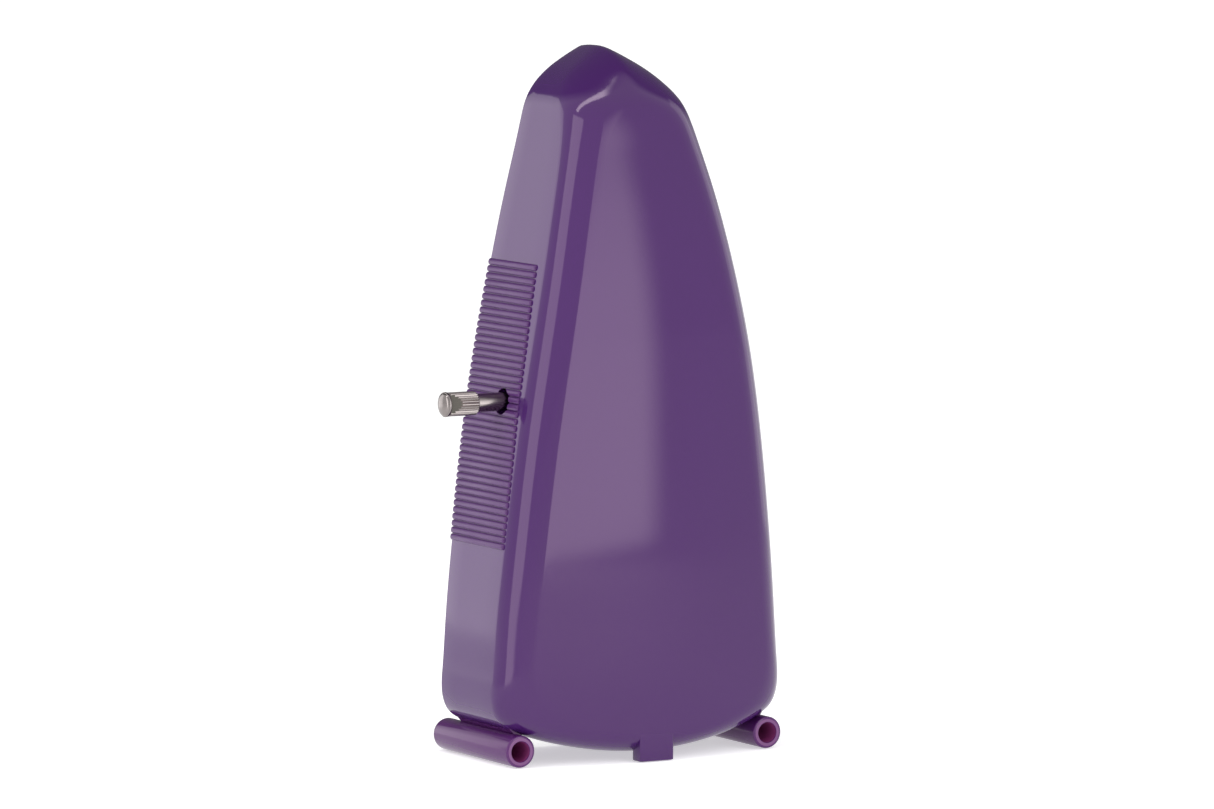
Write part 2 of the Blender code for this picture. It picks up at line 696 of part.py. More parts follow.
def spring_barrel():
    """Great wheel disc with the drum of the mainspring on its left face."""
    disc = plate("spring_barrel", gear_outline(GREAT_TEETH, GREAT_MODULE), 1.8,
                 [circle(1.5, 16)], ALONG_X, (5.4, 0, KEY_Z))
    drum = turned("barrel_drum", ((10.4, 4.8), (11.2, 4.8), (11.2, -4.5), (10.4, -4.5)), 32,
                  ALONG_X, (0, 0, KEY_Z), bored=True)
    fuse(disc, drum)
    return finish(disc, BRASS, 0.35, 1.0)


def barrel_cap():
    cap = turned("barrel_cap", ((1.5, -4.8), (11.2, -4.8), (11.2, -5.6), (1.5, -5.6)), 32,
                 ALONG_X, (0, 0, KEY_Z), bored=True)
    return finish(cap, BRASS, 0.35, 1.0)


def mainspring():
    """Spiral ribbon, inner end near the arbor and outer end near the drum."""
    turns = 6
    per_turn = 14
    first, last, half = 2.8, 9.8, 0.2
    outer, inner = [], []
    for step in range(turns * per_turn + 1):
        share = step / (turns * per_turn)
        angle = 2 * math.pi * turns * share
        radius = first + (last - first) * share
        outer.append(((radius + half) * math.cos(angle), (radius + half) * math.sin(angle)))
        inner.append(((radius - half) * math.cos(angle), (radius - half) * math.sin(angle)))
    spring = plate("mainspring", outer + inner[::-1], 7.4, (), ALONG_X, (0, 0, KEY_Z))
    return finish(spring, STEEL, 0.3, 1.0)


def train_arbor(name, z, pinion_teeth, module, pinion_x, phase):
    """Arbor with its pinion, running between both plates."""
    low, high = pinion_x
    profile = ((0, 14.2), (0.6, 14.2), (0.6, 12.0), (0.75, 12.0), (0.75, -12.0),
               (0.6, -12.0), (0.6, -14.2), (0, -14.2))
    arbor = turned(name, profile, 12, ALONG_X, (0, 0, z))
    pinion = plate(name + "_pinion", gear_outline(pinion_teeth, module, phase), high - low,
                   (), ALONG_X, ((low + high) / 2, 0, z))
    fuse(arbor, pinion)
    return finish(arbor, STEEL, 0.3, 1.0)


def second_wheel():
    outline = gear_outline(SECOND_TEETH, SECOND_MODULE, SECOND_PHASE)
    wheel = plate("second_wheel", outline, 1.0, [circle(0.85, 12)], ALONG_X,
                  (-6.9, 0, SECOND_Z))
    return finish(wheel, BRASS, 0.35, 1.0)


def escape_wheel():
    """Crown wheel: a shallow cup whose rim is notched into teeth."""
    rim = ESCAPE_RADIUS
    cup = turned("escape_wheel", ((rim - 0.7, -2.6), (rim, -2.6), (rim, -5.2), (0.85, -5.2),
                                  (0.85, -4.5), (rim - 0.7, -4.5)), 30,
                 ALONG_X, (0, 0, ESCAPE_Z), bored=True)
    mesh = bpy.data.meshes.new("escape_notches")
    bm = bmesh.new()
    for index in range(ESCAPE_TEETH):
        turn = Matrix.Rotation(2 * math.pi * (index + 0.5) / ESCAPE_TEETH, 4, "X")
        place = Matrix.Translation(Vector((-1.8, 0, rim)) * MM)
        tilt = Matrix.Rotation(math.radians(20), 4, "Z")
        size = Matrix.Diagonal((3.2 * MM, 1.75 * MM, 3.0 * MM, 1.0))
        bmesh.ops.create_cube(bm, size=1.0, matrix=turn @ place @ tilt @ size)
    bm.to_mesh(mesh)
    bm.free()
    cut(cup, add_object("escape_notches", mesh, ALONG_Z, (0, 0, ESCAPE_Z)))
    return finish(cup, BRASS, 0.35, 1.0)


# ------------------------------------------------------------------ pendulum
def pendulum_arbor():
    """Verge: carries the pallets inside and the rod hub in front of the panel."""
    profile = ((0, 9.4), (VERGE_RADIUS, 9.4), (VERGE_RADIUS, -20.6), (0, -20.6))
    arbor = turned("pendulum_arbor", profile, 16, FACING_BACK, (0, 0, PIVOT_Z))
    return finish(arbor, STEEL, 0.3, 1.0)


def pallet(name, y, angle):
    """Collar on the verge with one flag; angle of the flag in degrees."""
    spread = math.degrees(math.asin(0.22 / 1.3))
    outline = arc((0, 0), 1.35, angle + spread, angle + 360 - spread, 14)
    direction = Vector((math.cos(math.radians(angle)), math.sin(math.radians(angle))))
    side = Vector((-direction.y, direction.x)) * 0.22
    for sign in (-1, 1):
        corner = direction * 2.4 + side * sign
        outline.append((corner.x, corner.y))
    obj = plate(name, outline, 1.4, [circle(VERGE_RADIUS + 0.1, 12)], ALONG_Y, (0, y, PIVOT_Z))
    return finish(obj, STEEL, 0.25, 1.0)


def rod_hub():
    hub = box("rod_hub", (-3.4, -21.7, PIVOT_Z - 3.6), (3.4, -17.5, PIVOT_Z + 5.4))
    rounding = hub.modifiers.new("edges", "BEVEL")
    rounding.width = 0.5 * MM
    rounding.segments = 1
    cut(hub, pin("hub_arbor_bore", VERGE_RADIUS + 0.1, -20.9, -17.0, 14, FACING_BACK,
                 (0, 0, PIVOT_Z)))
    cut(hub, pin("hub_rod_bore", ROD_RADIUS + 0.1, PIVOT_Z + 1.7, PIVOT_Z + 7, 14, ALONG_Z,
                 (0, ROD_Y, 0)))
    cut(hub, pin("hub_screw_bore", 0.6, -22.5, -20.5, 10, FACING_BACK, (0, 0, PIVOT_Z)))
    return finish(hub, NICKEL, 0.25, 1.0)


def pendulum_rod():
    bottom = PIVOT_Z + 2.0
    profile = ((0, ROD_TOP), (ROD_RADIUS * 0.6, ROD_TOP - 0.1), (ROD_RADIUS, ROD_TOP - 0.7),
               (ROD_RADIUS, bottom), (0, bottom))
    return finish(turned("pendulum_rod", profile, 16, ALONG_Z, (0, ROD_Y, 0)), NICKEL, 0.2, 1.0)


def tempo_weight():
    """Tapered sliding weight; its top edge reads the tempo."""
    half = WEIGHT_HEIGHT / 2
    outline = [(5.0, -half), (7.0, half), (-7.0, half), (-5.0, -half)]
    weight = plate("tempo_weight", outline, 4.4, (), ALONG_Y, (0, ROD_Y, WEIGHT_Z))
    cut(weight, pin("weight_bore", ROD_RADIUS + 0.1, -10, 10, 16, ALONG_Z,
                    (0, ROD_Y, WEIGHT_Z)))
    cut(weight, box("weight_pocket", (-1.9, ROD_Y, WEIGHT_Z - 3.6),
                    (1.9, -16.0, WEIGHT_Z + 3.6)))
    rounding = weight.modifiers.new("edges", "BEVEL")
    rounding.width = 0.3 * MM
    rounding.segments = 1
    rounding.limit_method = "ANGLE"
    return finish(weight, NICKEL, 0.25, 1.0)


def weight_spring():
    """Bowed leaf in the weight's pocket that rubs on the rod."""
    near = ROD_Y + ROD_RADIUS + 0.1
    path = [(near + 0.85, -3.2), (near + 0.35, -1.6), (near, 0.0), (near + 0.35, 1.6),
            (near + 0.85, 3.2)]
    outline = path + [(y + 0.22, z) for y, z in reversed(path)]
    leaf = plate("weight_spring", outline, 3.0, (), ALONG_X, (0, 0, WEIGHT_Z))
    return finish(leaf, STEEL, 0.3, 1.0)


def bob_arm():
    """Flat arm from the verge down to the bob."""
    outline = arc((0, 0), 2.6, 0, 180, 8) + arc((0, -BOB_DROP), 2.6, 180, 360, 8)
    holes = [circle(VERGE_RADIUS + 0.1, 14), circle(1.0, 12, (0, -BOB_DROP))]
    arm = plate("bob_arm", outline, 1.2, holes, ALONG_Y, (0, -12.3, PIVOT_Z))
    return finish(arm, STEEL, 0.3, 1.0)


def pendulum_bob():
    z = PIVOT_Z - BOB_DROP
    profile = ((1.0, -3.0), (BOB_RADIUS - 0.7, -3.0), (BOB_RADIUS, -3.7),
               (BOB_RADIUS, -10.7), (BOB_RADIUS - 0.7, -11.4), (1.0, -11.4))
    bob = turned("pendulum_bob", profile, 32, FACING_BACK, (0, 0, z), bored=True)
    return finish(bob, (0.30, 0.30, 0.31), 0.45, 1.0)


def screws():
    for name, (x, z) in PANEL_SCREWS.items():
        round_screw("panel_screw_" + name, 1.9, 1.0, 0.85, 7.0, ALONG_Y,
                    (x, PANEL_Y[0] - GAP, z))
    for name, (y, z) in PILLARS.items():
        round_screw("pillar_screw_" + name, 1.6, 0.9, 0.65, 5.6, ALONG_X,
                    (PLATE_X[1] + GAP, y, z))
    for name, side in (("right", 1), ("left", -1)):
        round_screw("movement_screw_" + name, 1.8, 1.0, 0.75, 5.6, ALONG_Y,
                    (side * LUG_X, BRIDGE_Y[0] - GAP, PIVOT_Z))
    round_screw("click_screw", 1.5, 0.8, 0.65, 3.0, ALONG_X, (15.6, *CLICK_PIVOT))
    round_screw("spring_screw", 1.2, 0.7, 0.6, 2.6, ALONG_X, (15.3, *SPRING_ANCHOR))
    round_screw("hub_screw", 1.7, 0.9, 0.5, 0.9, ALONG_Y, (0, -22.0, PIVOT_Z))
    round_screw("bob_screw", 1.8, 0.8, 0.8, 6.0, ALONG_Y, (0, -13.0, PIVOT_Z - BOB_DROP))


def build():
    rear_case()
    foot_tube("foot_tube_right", 1)
    foot_tube("foot_tube_left", -1)
    front_panel()
    tempo_scale()
    rod_catch()
    frame_plate("frame_plate_right", 1)
    frame_plate("frame_plate_left", -1)
    for name, (y, z) in PILLARS.items():
        obj = pillar("pillar_" + name, y, z)
        drill = pin("drill_" + name, 0.8, 6.0, 13.0, 10, ALONG_X, (0, y, z))
        cut(obj, drill)
    bridge("front_bridge", -1, PLATE_X[1] + 0.5)
    bridge("rear_bridge", 1, LUG_END_X)
    winding_key()
    winding_arbor()
    ratchet_wheel()
    click()
    click_spring()
    spring_barrel()
    barrel_cap()
    mainspring()
    train_arbor("second_arbor", SECOND_Z, SECOND_PINION_TEETH, GREAT_MODULE, (3.9, 6.9),
                SECOND_PINION_PHASE)
    second_wheel()
    train_arbor("escape_arbor", ESCAPE_Z, ESCAPE_PINION_TEETH, SECOND_MODULE, (-8.2, -5.7),
                ESCAPE_PINION_PHASE)
    escape_wheel()
    pendulum_arbor()
    pallet("entry_pallet", -5.5, 135.0)
    pallet("exit_pallet", 6.1, 225.0)
    rod_hub()
    pendulum_rod()
    tempo_weight()
    weight_spring()
    bob_arm()
    pendulum_bob()
    screws()
    hang("pendulum_pivot", (0, 0, PIVOT_Z),
         ("pendulum_arbor", "entry_pallet", "exit_pallet", "rod_hub", "hub_screw",
          "pendulum_rod", "bob_arm", "pendulum_bob", "bob_screw"))
    hang("weight_slide", (0, ROD_Y, WEIGHT_Z), ("tempo_weight", "weight_spring"))
    stand_on_rear_foot()


def hang(name, at, children):
    """Parent a group of moving pieces to an empty on their joint's axis."""
    pivot = bpy.data.objects.new(name, None)
    parts.objects.link(pivot)
    pivot.matrix_world = Matrix.Translation(Vector(at) * MM)
    bpy.context.view_layer.update()
    for child in children:
        obj = bpy.data.objects[child]
        world = obj.matrix_world.copy()
        obj.parent = pivot
        obj.matrix_parent_inverse = pivot.matrix_world.inverted()
        obj.matrix_world = world


def stand_on_rear_foot():
    """Move everything so that the rear foot's underside is centred on the origin."""
    for obj in [*parts.objects, *cutters.objects]:
        if obj.parent is None:
            obj.location.y -= REAR_FOOT_Y * MM


clear_scene()
parts = new_collection(COLLECTION)
cutters = new_collection(COLLECTION + "_cutters")
build()
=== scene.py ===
"""Looks of the wind-up pendulum metronome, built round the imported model.

Lengths are written in millimetres and turned into metres by MM; the lights and the
camera are placed in metres. The front faces -Y, the winding key is on +X and the
ground is z = 0. Pieces are drawn with y = 0 on the winding axis, and seat() moves
each one forward so that the rear foot stands on the model's origin.
"""

import math

import bmesh
import bpy
import numpy as np
from mathutils import Matrix, Vector


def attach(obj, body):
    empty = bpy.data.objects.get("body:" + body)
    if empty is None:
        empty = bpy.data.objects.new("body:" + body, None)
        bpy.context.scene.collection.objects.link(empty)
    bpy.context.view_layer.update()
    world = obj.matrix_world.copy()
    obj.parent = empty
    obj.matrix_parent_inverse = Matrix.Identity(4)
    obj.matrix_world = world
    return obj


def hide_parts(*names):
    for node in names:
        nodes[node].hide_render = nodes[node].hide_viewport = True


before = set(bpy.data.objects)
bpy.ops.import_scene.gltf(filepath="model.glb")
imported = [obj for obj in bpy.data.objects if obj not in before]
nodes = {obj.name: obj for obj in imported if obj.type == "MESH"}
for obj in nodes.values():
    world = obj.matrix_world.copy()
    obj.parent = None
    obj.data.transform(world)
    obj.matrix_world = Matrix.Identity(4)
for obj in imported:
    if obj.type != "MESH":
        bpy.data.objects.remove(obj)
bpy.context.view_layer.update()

MM = 0.001
REAR_FOOT_Y = 15.55
KEY_Z = 81.3
PIVOT_Z = 59.1
ROD_Y = -19.6
# Radius of the tiny flat left where a turned piece meets its axis.
AXIS_FLAT = 0.02

# ------------------------------------------------------------------ case shape
# Half outlines seen from the front (x, z): the side wall, and the flat of the back.
SIDE_OUTLINE = (
    (0, 1.7), (9, 2.1), (18, 3.5), (26, 5.5), (32, 7.75), (35.2, 10.0), (36.6, 13.5),
    (36.75, 17), (36.3, 22), (35.4, 35), (33.85, 50), (32.1, 65), (30.0, 80), (27.4, 95),
    (24.3, 110), (20.9, 125), (17.75, 137), (16.15, 143.5), (14.9, 147.9), (12.5, 151.7),
    (8.9, 155.0), (5.0, 157.5), (2.2, 159.1), (0, 160.0),
)
BACK_OUTLINE = (
    (0, 6.2), (8, 6.5), (15.5, 7.5), (21.5, 9.5), (25.8, 11.8), (28.3, 14.8), (29.4, 18.8),
    (29.7, 22), (29.3, 26), (28.4, 37), (26.85, 51), (25.1, 65.5), (23.0, 80), (20.4, 95),
    (17.3, 109.5), (13.9, 124), (10.9, 134.5), (9.75, 138.6), (9.0, 141.1), (7.9, 143.0),
    (6.2, 144.7), (3.7, 146.6), (1.3, 148.0), (0, 148.3),
)
# Depth of the back on its centre line (z, y), and how fast it falls off to the sides.
BACK_DEPTH = ((0, 17.5), (10, 17.3), (30, 17.2), (50, 17.65), (80, 18.0), (95, 17.75),
              (110, 16.6), (125, 14.5), (137, 12.15), (147, 9.9), (153, 6.6), (160, 3.6))
BACK_CROWN = 0.0029
BACK_COLUMNS = 24
# Depth of the rounded edge round the back (z of the side wall, depth).
EDGE_DEPTH = ((0, 7.0), (130, 7.0), (140, 7.5), (150, 11.2), (156, 12.9), (160, 14.5))
EDGE_STEPS = 20
INNER_EDGE_STEPS = 6
# Rounds of smoothing given to the side outline, the back outline and the edge's depth.
FRONT_ROUNDS, BACK_ROUNDS, EDGE_ROUNDS = 4, 24, 30
SIDE_WALL_Z = (13.0, 152.0)
FRONT_Y = -17.0
WALL = 2.0
BACK_INSET = 0.6
LIP_ROUND = 0.45
INNER_LIP_ROUND = 0.25
# The roof drops a little at its front: from this height, over this rise and reach.
DROOP_Z, DROOP_RISE, DROOP_REACH, DROOP = 150.0, 9.0, 5.0, 0.32
KEY_HOLE_RADIUS = 2.95
KEY_HOLE_X = (20, 40)

# ------------------------------------------------------------------- grip ribs
RIB_COUNT = 41
RIB_PITCH = 1.55
RIB_BOTTOM_Z = 49.4
RIB_PROUD = 0.5
RIB_HALF_HEIGHT = 0.735
RIB_ROOT = 0.35
RIB_REAR = ((49, 7.7), (64, 7.9), (93, 6.8), (112, 4.9))
# Distance from the wall's front or the rib's rear end, and share of the full section.
RIB_FRONT_TAPER = ((0.12, 0.82), (0.32, 1.0))
RIB_REAR_TAPER = ((0.55, 1.0), (0.25, 0.93), (0.08, 0.78), (0.0, 0.5))

# ------------------------------------------------------------------------ feet
TUBE_X = 32.0
TUBE_RADIUS = 3.63
TUBE_BORE = 2.3
TUBE_FRONT_Y, TUBE_REAR_Y = -24.2, 11.9
BORE_DEPTH = 30.0
BORE_TAPER = 0.02
MOUTH_LENGTH, MOUTH_WIDTH = 0.15, 0.12
RIM_LENGTH, RIM_WIDTH = 0.4, 0.55
NOSE_LENGTH, NOSE_WIDTH = 2.04, 2.4
# Wedge that joins a tube to the case: its section (x, z) and its ends.
SADDLE_SECTION = ((29.9, 6.1), (31.9, 6.1), (31.9, 7.2), (33.3, 8.75), (29.9, 6.95))
SADDLE_Y = (-16.3, 8.6)
BLOCK_HALF_WIDTH = 4.33
BLOCK_FRONT_Y = 13.7
BLOCK_CORNER = 0.3
# The block's rear face follows the back at this height, and stands this far out of it.
BLOCK_REAR_Z, BLOCK_PROUD = 6.5, 0.02
# Height, distance drawn in on every side, and distance the rear face sinks forward.
BLOCK_LEVELS = ((0.0, 0.3, 0), (0.09, 0.09, 0), (0.3, 0, 0), (4.6, 0, 0), (5.4, 0, 0),
                (6.0, 0, 0.01), (6.6, 0, 0.06), (7.3, 0, 0.2))

# ------------------------------------------------------------------------- key
RIDGE_COUNT = 26
RIDGE_STEPS = 8
RIDGE_ROOT, RIDGE_HEIGHT = 2.46, 0.24
# Places along the knurled head (x), and share of the full radius there.
HEAD_STATIONS = ((37.1, 0.90), (37.35, 1.0), (39.5, 1.0), (41.8, 1.0), (44.5, 1.0))
HEAD_REAR_X = 37.4
CAP_REAR_X = 44.34
# Two thumb flats: the cutting block, the point it tilts about, and its angles.
FLAT_SIZE, FLAT_CENTRE = (5.2, 8, 3), (1.4, 0, 1.5)
FLAT_X, FLAT_HEIGHT = 41.5, 2.75
FLAT_TILT, FLAT_SPIN = 30, 98
DOME_X, DOME_HEIGHT, DOME_RADIUS = 44.93, 0.85, 2.62
# Rim of the cap and the shaft (radius, x).
CAP_RIM = ((2.78, 44.9), (2.83, 44.8), (2.83, 44.5), (2.78, 44.4), (2.6, 44.35),
           (AXIS_FLAT, 44.35))
SHAFT = ((1.3, 17.2), (2.0, 17.2), (2.1, 17.35), (2.1, HEAD_REAR_X), (1.3, HEAD_REAR_X))

# ----------------------------------------------------------------- front pieces
PANEL_Y = (-15.1, -13.9)
PANEL_INSET = 2.36
PIVOT_HOLE_RADIUS = 2.2
SCREW_HOLE_RADIUS = 1.1
SCREW_SHANK, SCREW_TIP = 0.85, 0.5
SLOT_WIDTH = 0.42
# Name, x, z and angle of the slot of each screw that holds the panel.
PANEL_SCREWS = (("top", 0, 152, 25), ("right", 27, 20, -40), ("left", -27, 20, 70))
PANEL_SCREW_Y, HUB_SCREW_Y = -15.4, -22.0
# Radius and height of the head, and depth of the shank.
PANEL_SCREW_SIZE, HUB_SCREW_SIZE = (1.9, 1.0, 7.0), (1.7, 0.9, 0.9)
SCALE_Y = (-15.9, -15.4)
SCALE_Z = (70.05, 141.95)
SCALE_HALF_WIDTHS = (10.4, 7.4417)
SCALE_CORNER = 1.3
TEMPI_LEFT = (40, 44, 48, 52, 56, 60, 66, 72, 80, 88, 96, 104, 112, 120, 132, 144, 160,
              176, 192, 208)
TEMPI_RIGHT = (42, 46, 50, 54, 58, 63, 69, 76, 84, 92, 100, 108, 116, 126, 138, 152, 168,
               184, 200)
PANEL_EDGE, SCALE_EDGE, CATCH_EDGE = 0.12, 0.1, 0.08
INK_Y, INK_THICKNESS = -15.91, 0.04
MARKS_Z = (136.0, 76.5)
MARK_X, MARK_HEIGHT = (1.6, 3.0), 0.22
FIGURE_X, FIGURE_SIZE = 3.5, 2.25
LINE_WIDTH, LINE_HEIGHT = 0.16, 61.0
CATCH_Z = (144.65, 147.35)
# Half outline of the catch seen from above (x, y): its foot, then one jaw.
CATCH_OUTLINE = ((3.2, -15.4), (3.2, -16.0), (1.6, -16.0), (1.6, -18.3), (1.35, -18.4),
                 (1.0, -18.1), (1.0, -16.0))

# -------------------------------------------------------------------- pendulum
ROD_RADIUS = 0.8
ROD_TOP_Z, ROD_BOTTOM_Z = 147.5, PIVOT_Z + 2.0
HUB_SIZE = (6.8, 4.2, 9.0)
HUB_LIFT = 0.9
HUB_TOP_SHARE = 0.62
HUB_ROUND = 0.55
WEIGHT_Z = 108.0
WEIGHT_HALF_HEIGHT = 5.5
WEIGHT_HALF_WIDTHS = (5.0, 7.0)
WEIGHT_HALF_DEPTH = 2.2
WEIGHT_BORE = 0.9
WEIGHT_ROUND = 0.55
POCKET_SIZE, POCKET_BACK = (3.8, 3.6, 7.2), 1.8

# ---------------------------------------------------------------------- camera
CAMERA_AZIMUTH, CAMERA_ELEVATION = 150.587, 5.709
CAMERA_DISTANCE = 1.8736
CAMERA_LENS = 246.1285
CAMERA_TARGET = (0.003157, -REAR_FOOT_Y * MM, 0.0793)


# ------------------------------------------------------------ shared geometry
def lerp(a, b, t):
    return a + (b - a) * t


def reading(table, value):
    """Smooth reading of a two-column table."""
    index = 0
    while index < len(table) - 2 and value > table[index + 1][0]:
        index += 1
    (x1, y1), (x2, y2) = table[index], table[index + 1]
    x0, y0 = table[max(index - 1, 0)]
    x3, y3 = table[min(index + 2, len(table) - 1)]
    t = min(max((value - x1) / (x2 - x1), 0.0), 1.0)
    m1 = (y2 - y0) / max(x2 - x0, 1e-9) * (x2 - x1)
    m2 = (y3 - y1) / max(x3 - x1, 1e-9) * (x2 - x1)
    return ((2 * t**3 - 3 * t**2 + 1) * y1 + (t**3 - 2 * t**2 + t) * m1
            + (3 * t**2 - 2 * t**3) * y2 + (t**3 - t**2) * m2)


def refined(half, parts=5):
    """Smooth half outline through its control points, kept inside their extremes."""
    full = [(-half[1][0], half[1][1]), *half, (-half[-2][0], half[-2][1])]
    widest, highest = max(x for x, z in half), max(z for x, z in half)
    out = []
    for index in range(1, len(full) - 2):
        p0, p1, p2, p3 = (np.array(p, float) for p in full[index - 1:index + 3])
        for k in range(parts):
            t = k / parts
            x, z = 0.5 * (2 * p1 + (p2 - p0) * t + (2 * p0 - 5 * p1 + 4 * p2 - p3) * t * t
                          + (3 * p1 - p0 - 3 * p2 + p3) * t**3)
            out.append((min(float(x), widest), min(float(z), highest)))
    out.append(tuple(float(v) for v in half[-1]))
    out[0] = (0.0, out[0][1])
    return out


SIDE_WALL = [(z, x) for x, z in SIDE_OUTLINE if SIDE_WALL_Z[0] < z < SIDE_WALL_Z[1]]


def half_width(z):
    """Distance of the side wall from the middle at a height."""
    return reading(SIDE_WALL, z)


def width_slope(z):
    """Change of half_width over one millimetre of height."""
    return half_width(z + 0.5) - half_width(z - 0.5)


def back_y(x, z):
    """Crowned outer surface of the back."""
    return reading(BACK_DEPTH, z) - BACK_CROWN * x * x


def mirrored(half):
    return list(half) + [(-x, z) for x, z in reversed(half[1:-1])]


def quarter_turn(steps):
    """Sine and cosine at even steps from 0 to 90 degrees."""
    angles = [math.pi / 2 * k / steps for k in range(steps + 1)]
    return [(math.sin(angle), math.cos(angle)) for angle in angles]


def eased(outline, rounds):
    """Outline with the small waves between its control points smoothed out."""
    for _ in range(rounds):
        outline = [(0.25 * a[0] + 0.5 * b[0] + 0.25 * c[0],
                    0.25 * a[1] + 0.5 * b[1] + 0.25 * c[1])
                   for a, b, c in zip(outline[-1:] + outline[:-1], outline,
                                      outline[1:] + outline[:1])]
    return outline


FRONT = eased(mirrored(refined(SIDE_OUTLINE)), FRONT_ROUNDS)
BACK = eased(mirrored(refined(BACK_OUTLINE)), BACK_ROUNDS)
EDGES = [depth for depth, _ in eased([(reading(EDGE_DEPTH, z), z) for x, z in FRONT],
                                     EDGE_ROUNDS)]


def inset(outline, distance):
    """Outline moved inward along its corner normals."""
    out = []
    for i, (x, z) in enumerate(outline):
        before, after = outline[i - 1], outline[(i + 1) % len(outline)]
        along = Vector((after[0] - before[0], after[1] - before[1])).normalized()
        out.append((x - along.y * distance, z + along.x * distance))
    return out


def rib_rear(z):
    """Place of a rib's rear end at its height."""
    for (a, rear_a), (b, rear_b) in zip(RIB_REAR, RIB_REAR[1:]):
        if z <= b:
            return lerp(rear_a, rear_b, max(z - a, 0) / (b - a))
    return RIB_REAR[-1][1]


# ------------------------------------------------------------------ materials
def node_material(name):
    material = bpy.data.materials.new(name)
    material.use_nodes = True
    tree = material.node_tree
    return material, tree, tree.nodes["Principled BSDF"]


def add_node(tree, kind, **values):
    node = tree.nodes.new(kind)
    for key, value in values.items():
        if key in node.inputs:
            node.inputs[key].default_value = value
        else:
            setattr(node, key, value)
    return node


def noise(tree, scale, detail=2.0, stretch=(1, 1, 1)):
    """Noise in a piece's own coordinates, drawn out along an axis by a small stretch."""
    coords = add_node(tree, "ShaderNodeTexCoord")
    mapping = add_node(tree, "ShaderNodeMapping")
    mapping.inputs["Scale"].default_value = stretch
    texture = add_node(tree, "ShaderNodeTexNoise", Scale=scale, Detail=detail, Roughness=0.5)
    tree.links.new(coords.outputs["Object"], mapping.inputs["Vector"])
    tree.links.new(mapping.outputs["Vector"], texture.inputs["Vector"])
    return texture.outputs["Fac"]


def ramp(tree, source, low, high, start=0.35, end=0.65):
    """Value that goes from low to high as source goes from start to end."""
    node = add_node(tree, "ShaderNodeMapRange")
    node.inputs["From Min"].default_value = start
    node.inputs["From Max"].default_value = end
    node.inputs["To Min"].default_value = low
    node.inputs["To Max"].default_value = high
    tree.links.new(source, node.inputs["Value"])
    return node.outputs["Result"]


def mix_colour(tree, factor, first, second):
    node = add_node(tree, "ShaderNodeMix", data_type="RGBA")
    ends = {socket.name: socket for socket in node.inputs if socket.type == "RGBA"}
    ends["A"].default_value = (*first, 1)
    ends["B"].default_value = (*second, 1)
    tree.links.new(factor, node.inputs["Factor"])
    return next(socket for socket in node.outputs if socket.type == "RGBA")


def bump(tree, shader, height, strength, distance):
    node = add_node(tree, "ShaderNodeBump")
    node.inputs["Strength"].default_value = strength
    node.inputs["Distance"].default_value = distance
    tree.links.new(height, node.inputs["Height"])
    tree.links.new(node.outputs["Normal"], shader.inputs["Normal"])


PLASTIC_IOR = 1.5
PLASTIC_SPECULAR_TINT = (1.0, 0.80, 0.91, 1)


def plastic(name, colour, rough, grain=900.0, grain_depth=0.012):
    """Moulded plastic: faint flow variation, fine texture, slightly uneven gloss."""
    material, tree, shader = node_material(name)
    dark = tuple(c * 0.94 for c in colour)
    light = tuple(c * 1.05 for c in colour)
    flow = noise(tree, scale=14.0, detail=3.0, stretch=(1, 1, 0.35))
    tree.links.new(mix_colour(tree, ramp(tree, flow, 0, 1), dark, light),
                   shader.inputs["Base Color"])
    tree.links.new(ramp(tree, noise(tree, scale=60.0, detail=4.0), rough * 0.9, rough * 1.12),
                   shader.inputs["Roughness"])
    shader.inputs["IOR"].default_value = PLASTIC_IOR
    shader.inputs["Specular Tint"].default_value = PLASTIC_SPECULAR_TINT
    bump(tree, shader, noise(tree, grain), 0.25, grain_depth * MM)
    return material


def metal(name, colour, rough, stretch=(1, 1, 1), grain=500.0, depth=0.01, tarnish=0.88):
    """Metal with soft tarnish, and fine tool lines along the axis of the small stretch."""
    material, tree, shader = node_material(name)
    shader.inputs["Metallic"].default_value = 1.0
    old = tuple(c * tarnish for c in colour)
    patches = noise(tree, scale=90.0, detail=4.0)
    tree.links.new(mix_colour(tree, ramp(tree, patches, 0, 1), old, colour),
                   shader.inputs["Base Color"])
    lines = noise(tree, grain, 3.0, stretch)
    tree.links.new(ramp(tree, lines, rough * 0.8, rough * 1.3), shader.inputs["Roughness"])
    bump(tree, shader, lines, 0.35, depth * MM)
    return material


case_plastic = plastic("case_plastic", (0.044, 0.0095, 0.091), 0.085)
foot_plastic = plastic("foot_plastic", (0.066, 0.0110, 0.098), 0.12)
# Redder, brighter copy of the foot plastic for the bore: painted glow of light shining through
# the plastic into the tube.
bore_painted_glow = plastic("bore_painted_glow", (0.16, 0.02, 0.105), 0.5)
cut_plastic = plastic("cut_plastic", (0.15, 0.055, 0.165), 0.3)
grip_plastic = plastic("grip_plastic", (0.056, 0.010, 0.1), 0.38)
panel_plastic = plastic("panel_plastic", (0.018, 0.017, 0.021), 0.42, 1600.0, 0.03)
ink = plastic("ink", (0.012, 0.012, 0.013), 0.5)
scale_metal = metal("scale_metal", (0.72, 0.72, 0.73), 0.34, (1, 1, 0.02), 900.0, 0.006, 0.95)
nickel = metal("nickel", (0.27, 0.24, 0.235), 0.17, (0.05, 1, 1), 700.0, 0.006)
# Darker copy of nickel: painted shade in the knurl grooves and painted dark reflection on the
# thumb flats.
nickel_painted_shade = metal("nickel_painted_shade", (0.15, 0.14, 0.125), 0.24, (0.05, 1, 1), 700.0, 0.006)
nickel_rod = metal("nickel_rod", (0.66, 0.65, 0.62), 0.14, (1, 1, 0.03), 700.0, 0.005)
nickel_weight = metal("nickel_weight", (0.64, 0.63, 0.60), 0.22, (0.04, 1, 1), 900.0, 0.006)
steel = metal("steel", (0.50, 0.51, 0.53), 0.28, (1, 1, 1), 800.0, 0.008)
spring_steel = metal("spring_steel", (0.20, 0.22, 0.28), 0.3, (0.05, 1, 1), 500.0, 0.008)
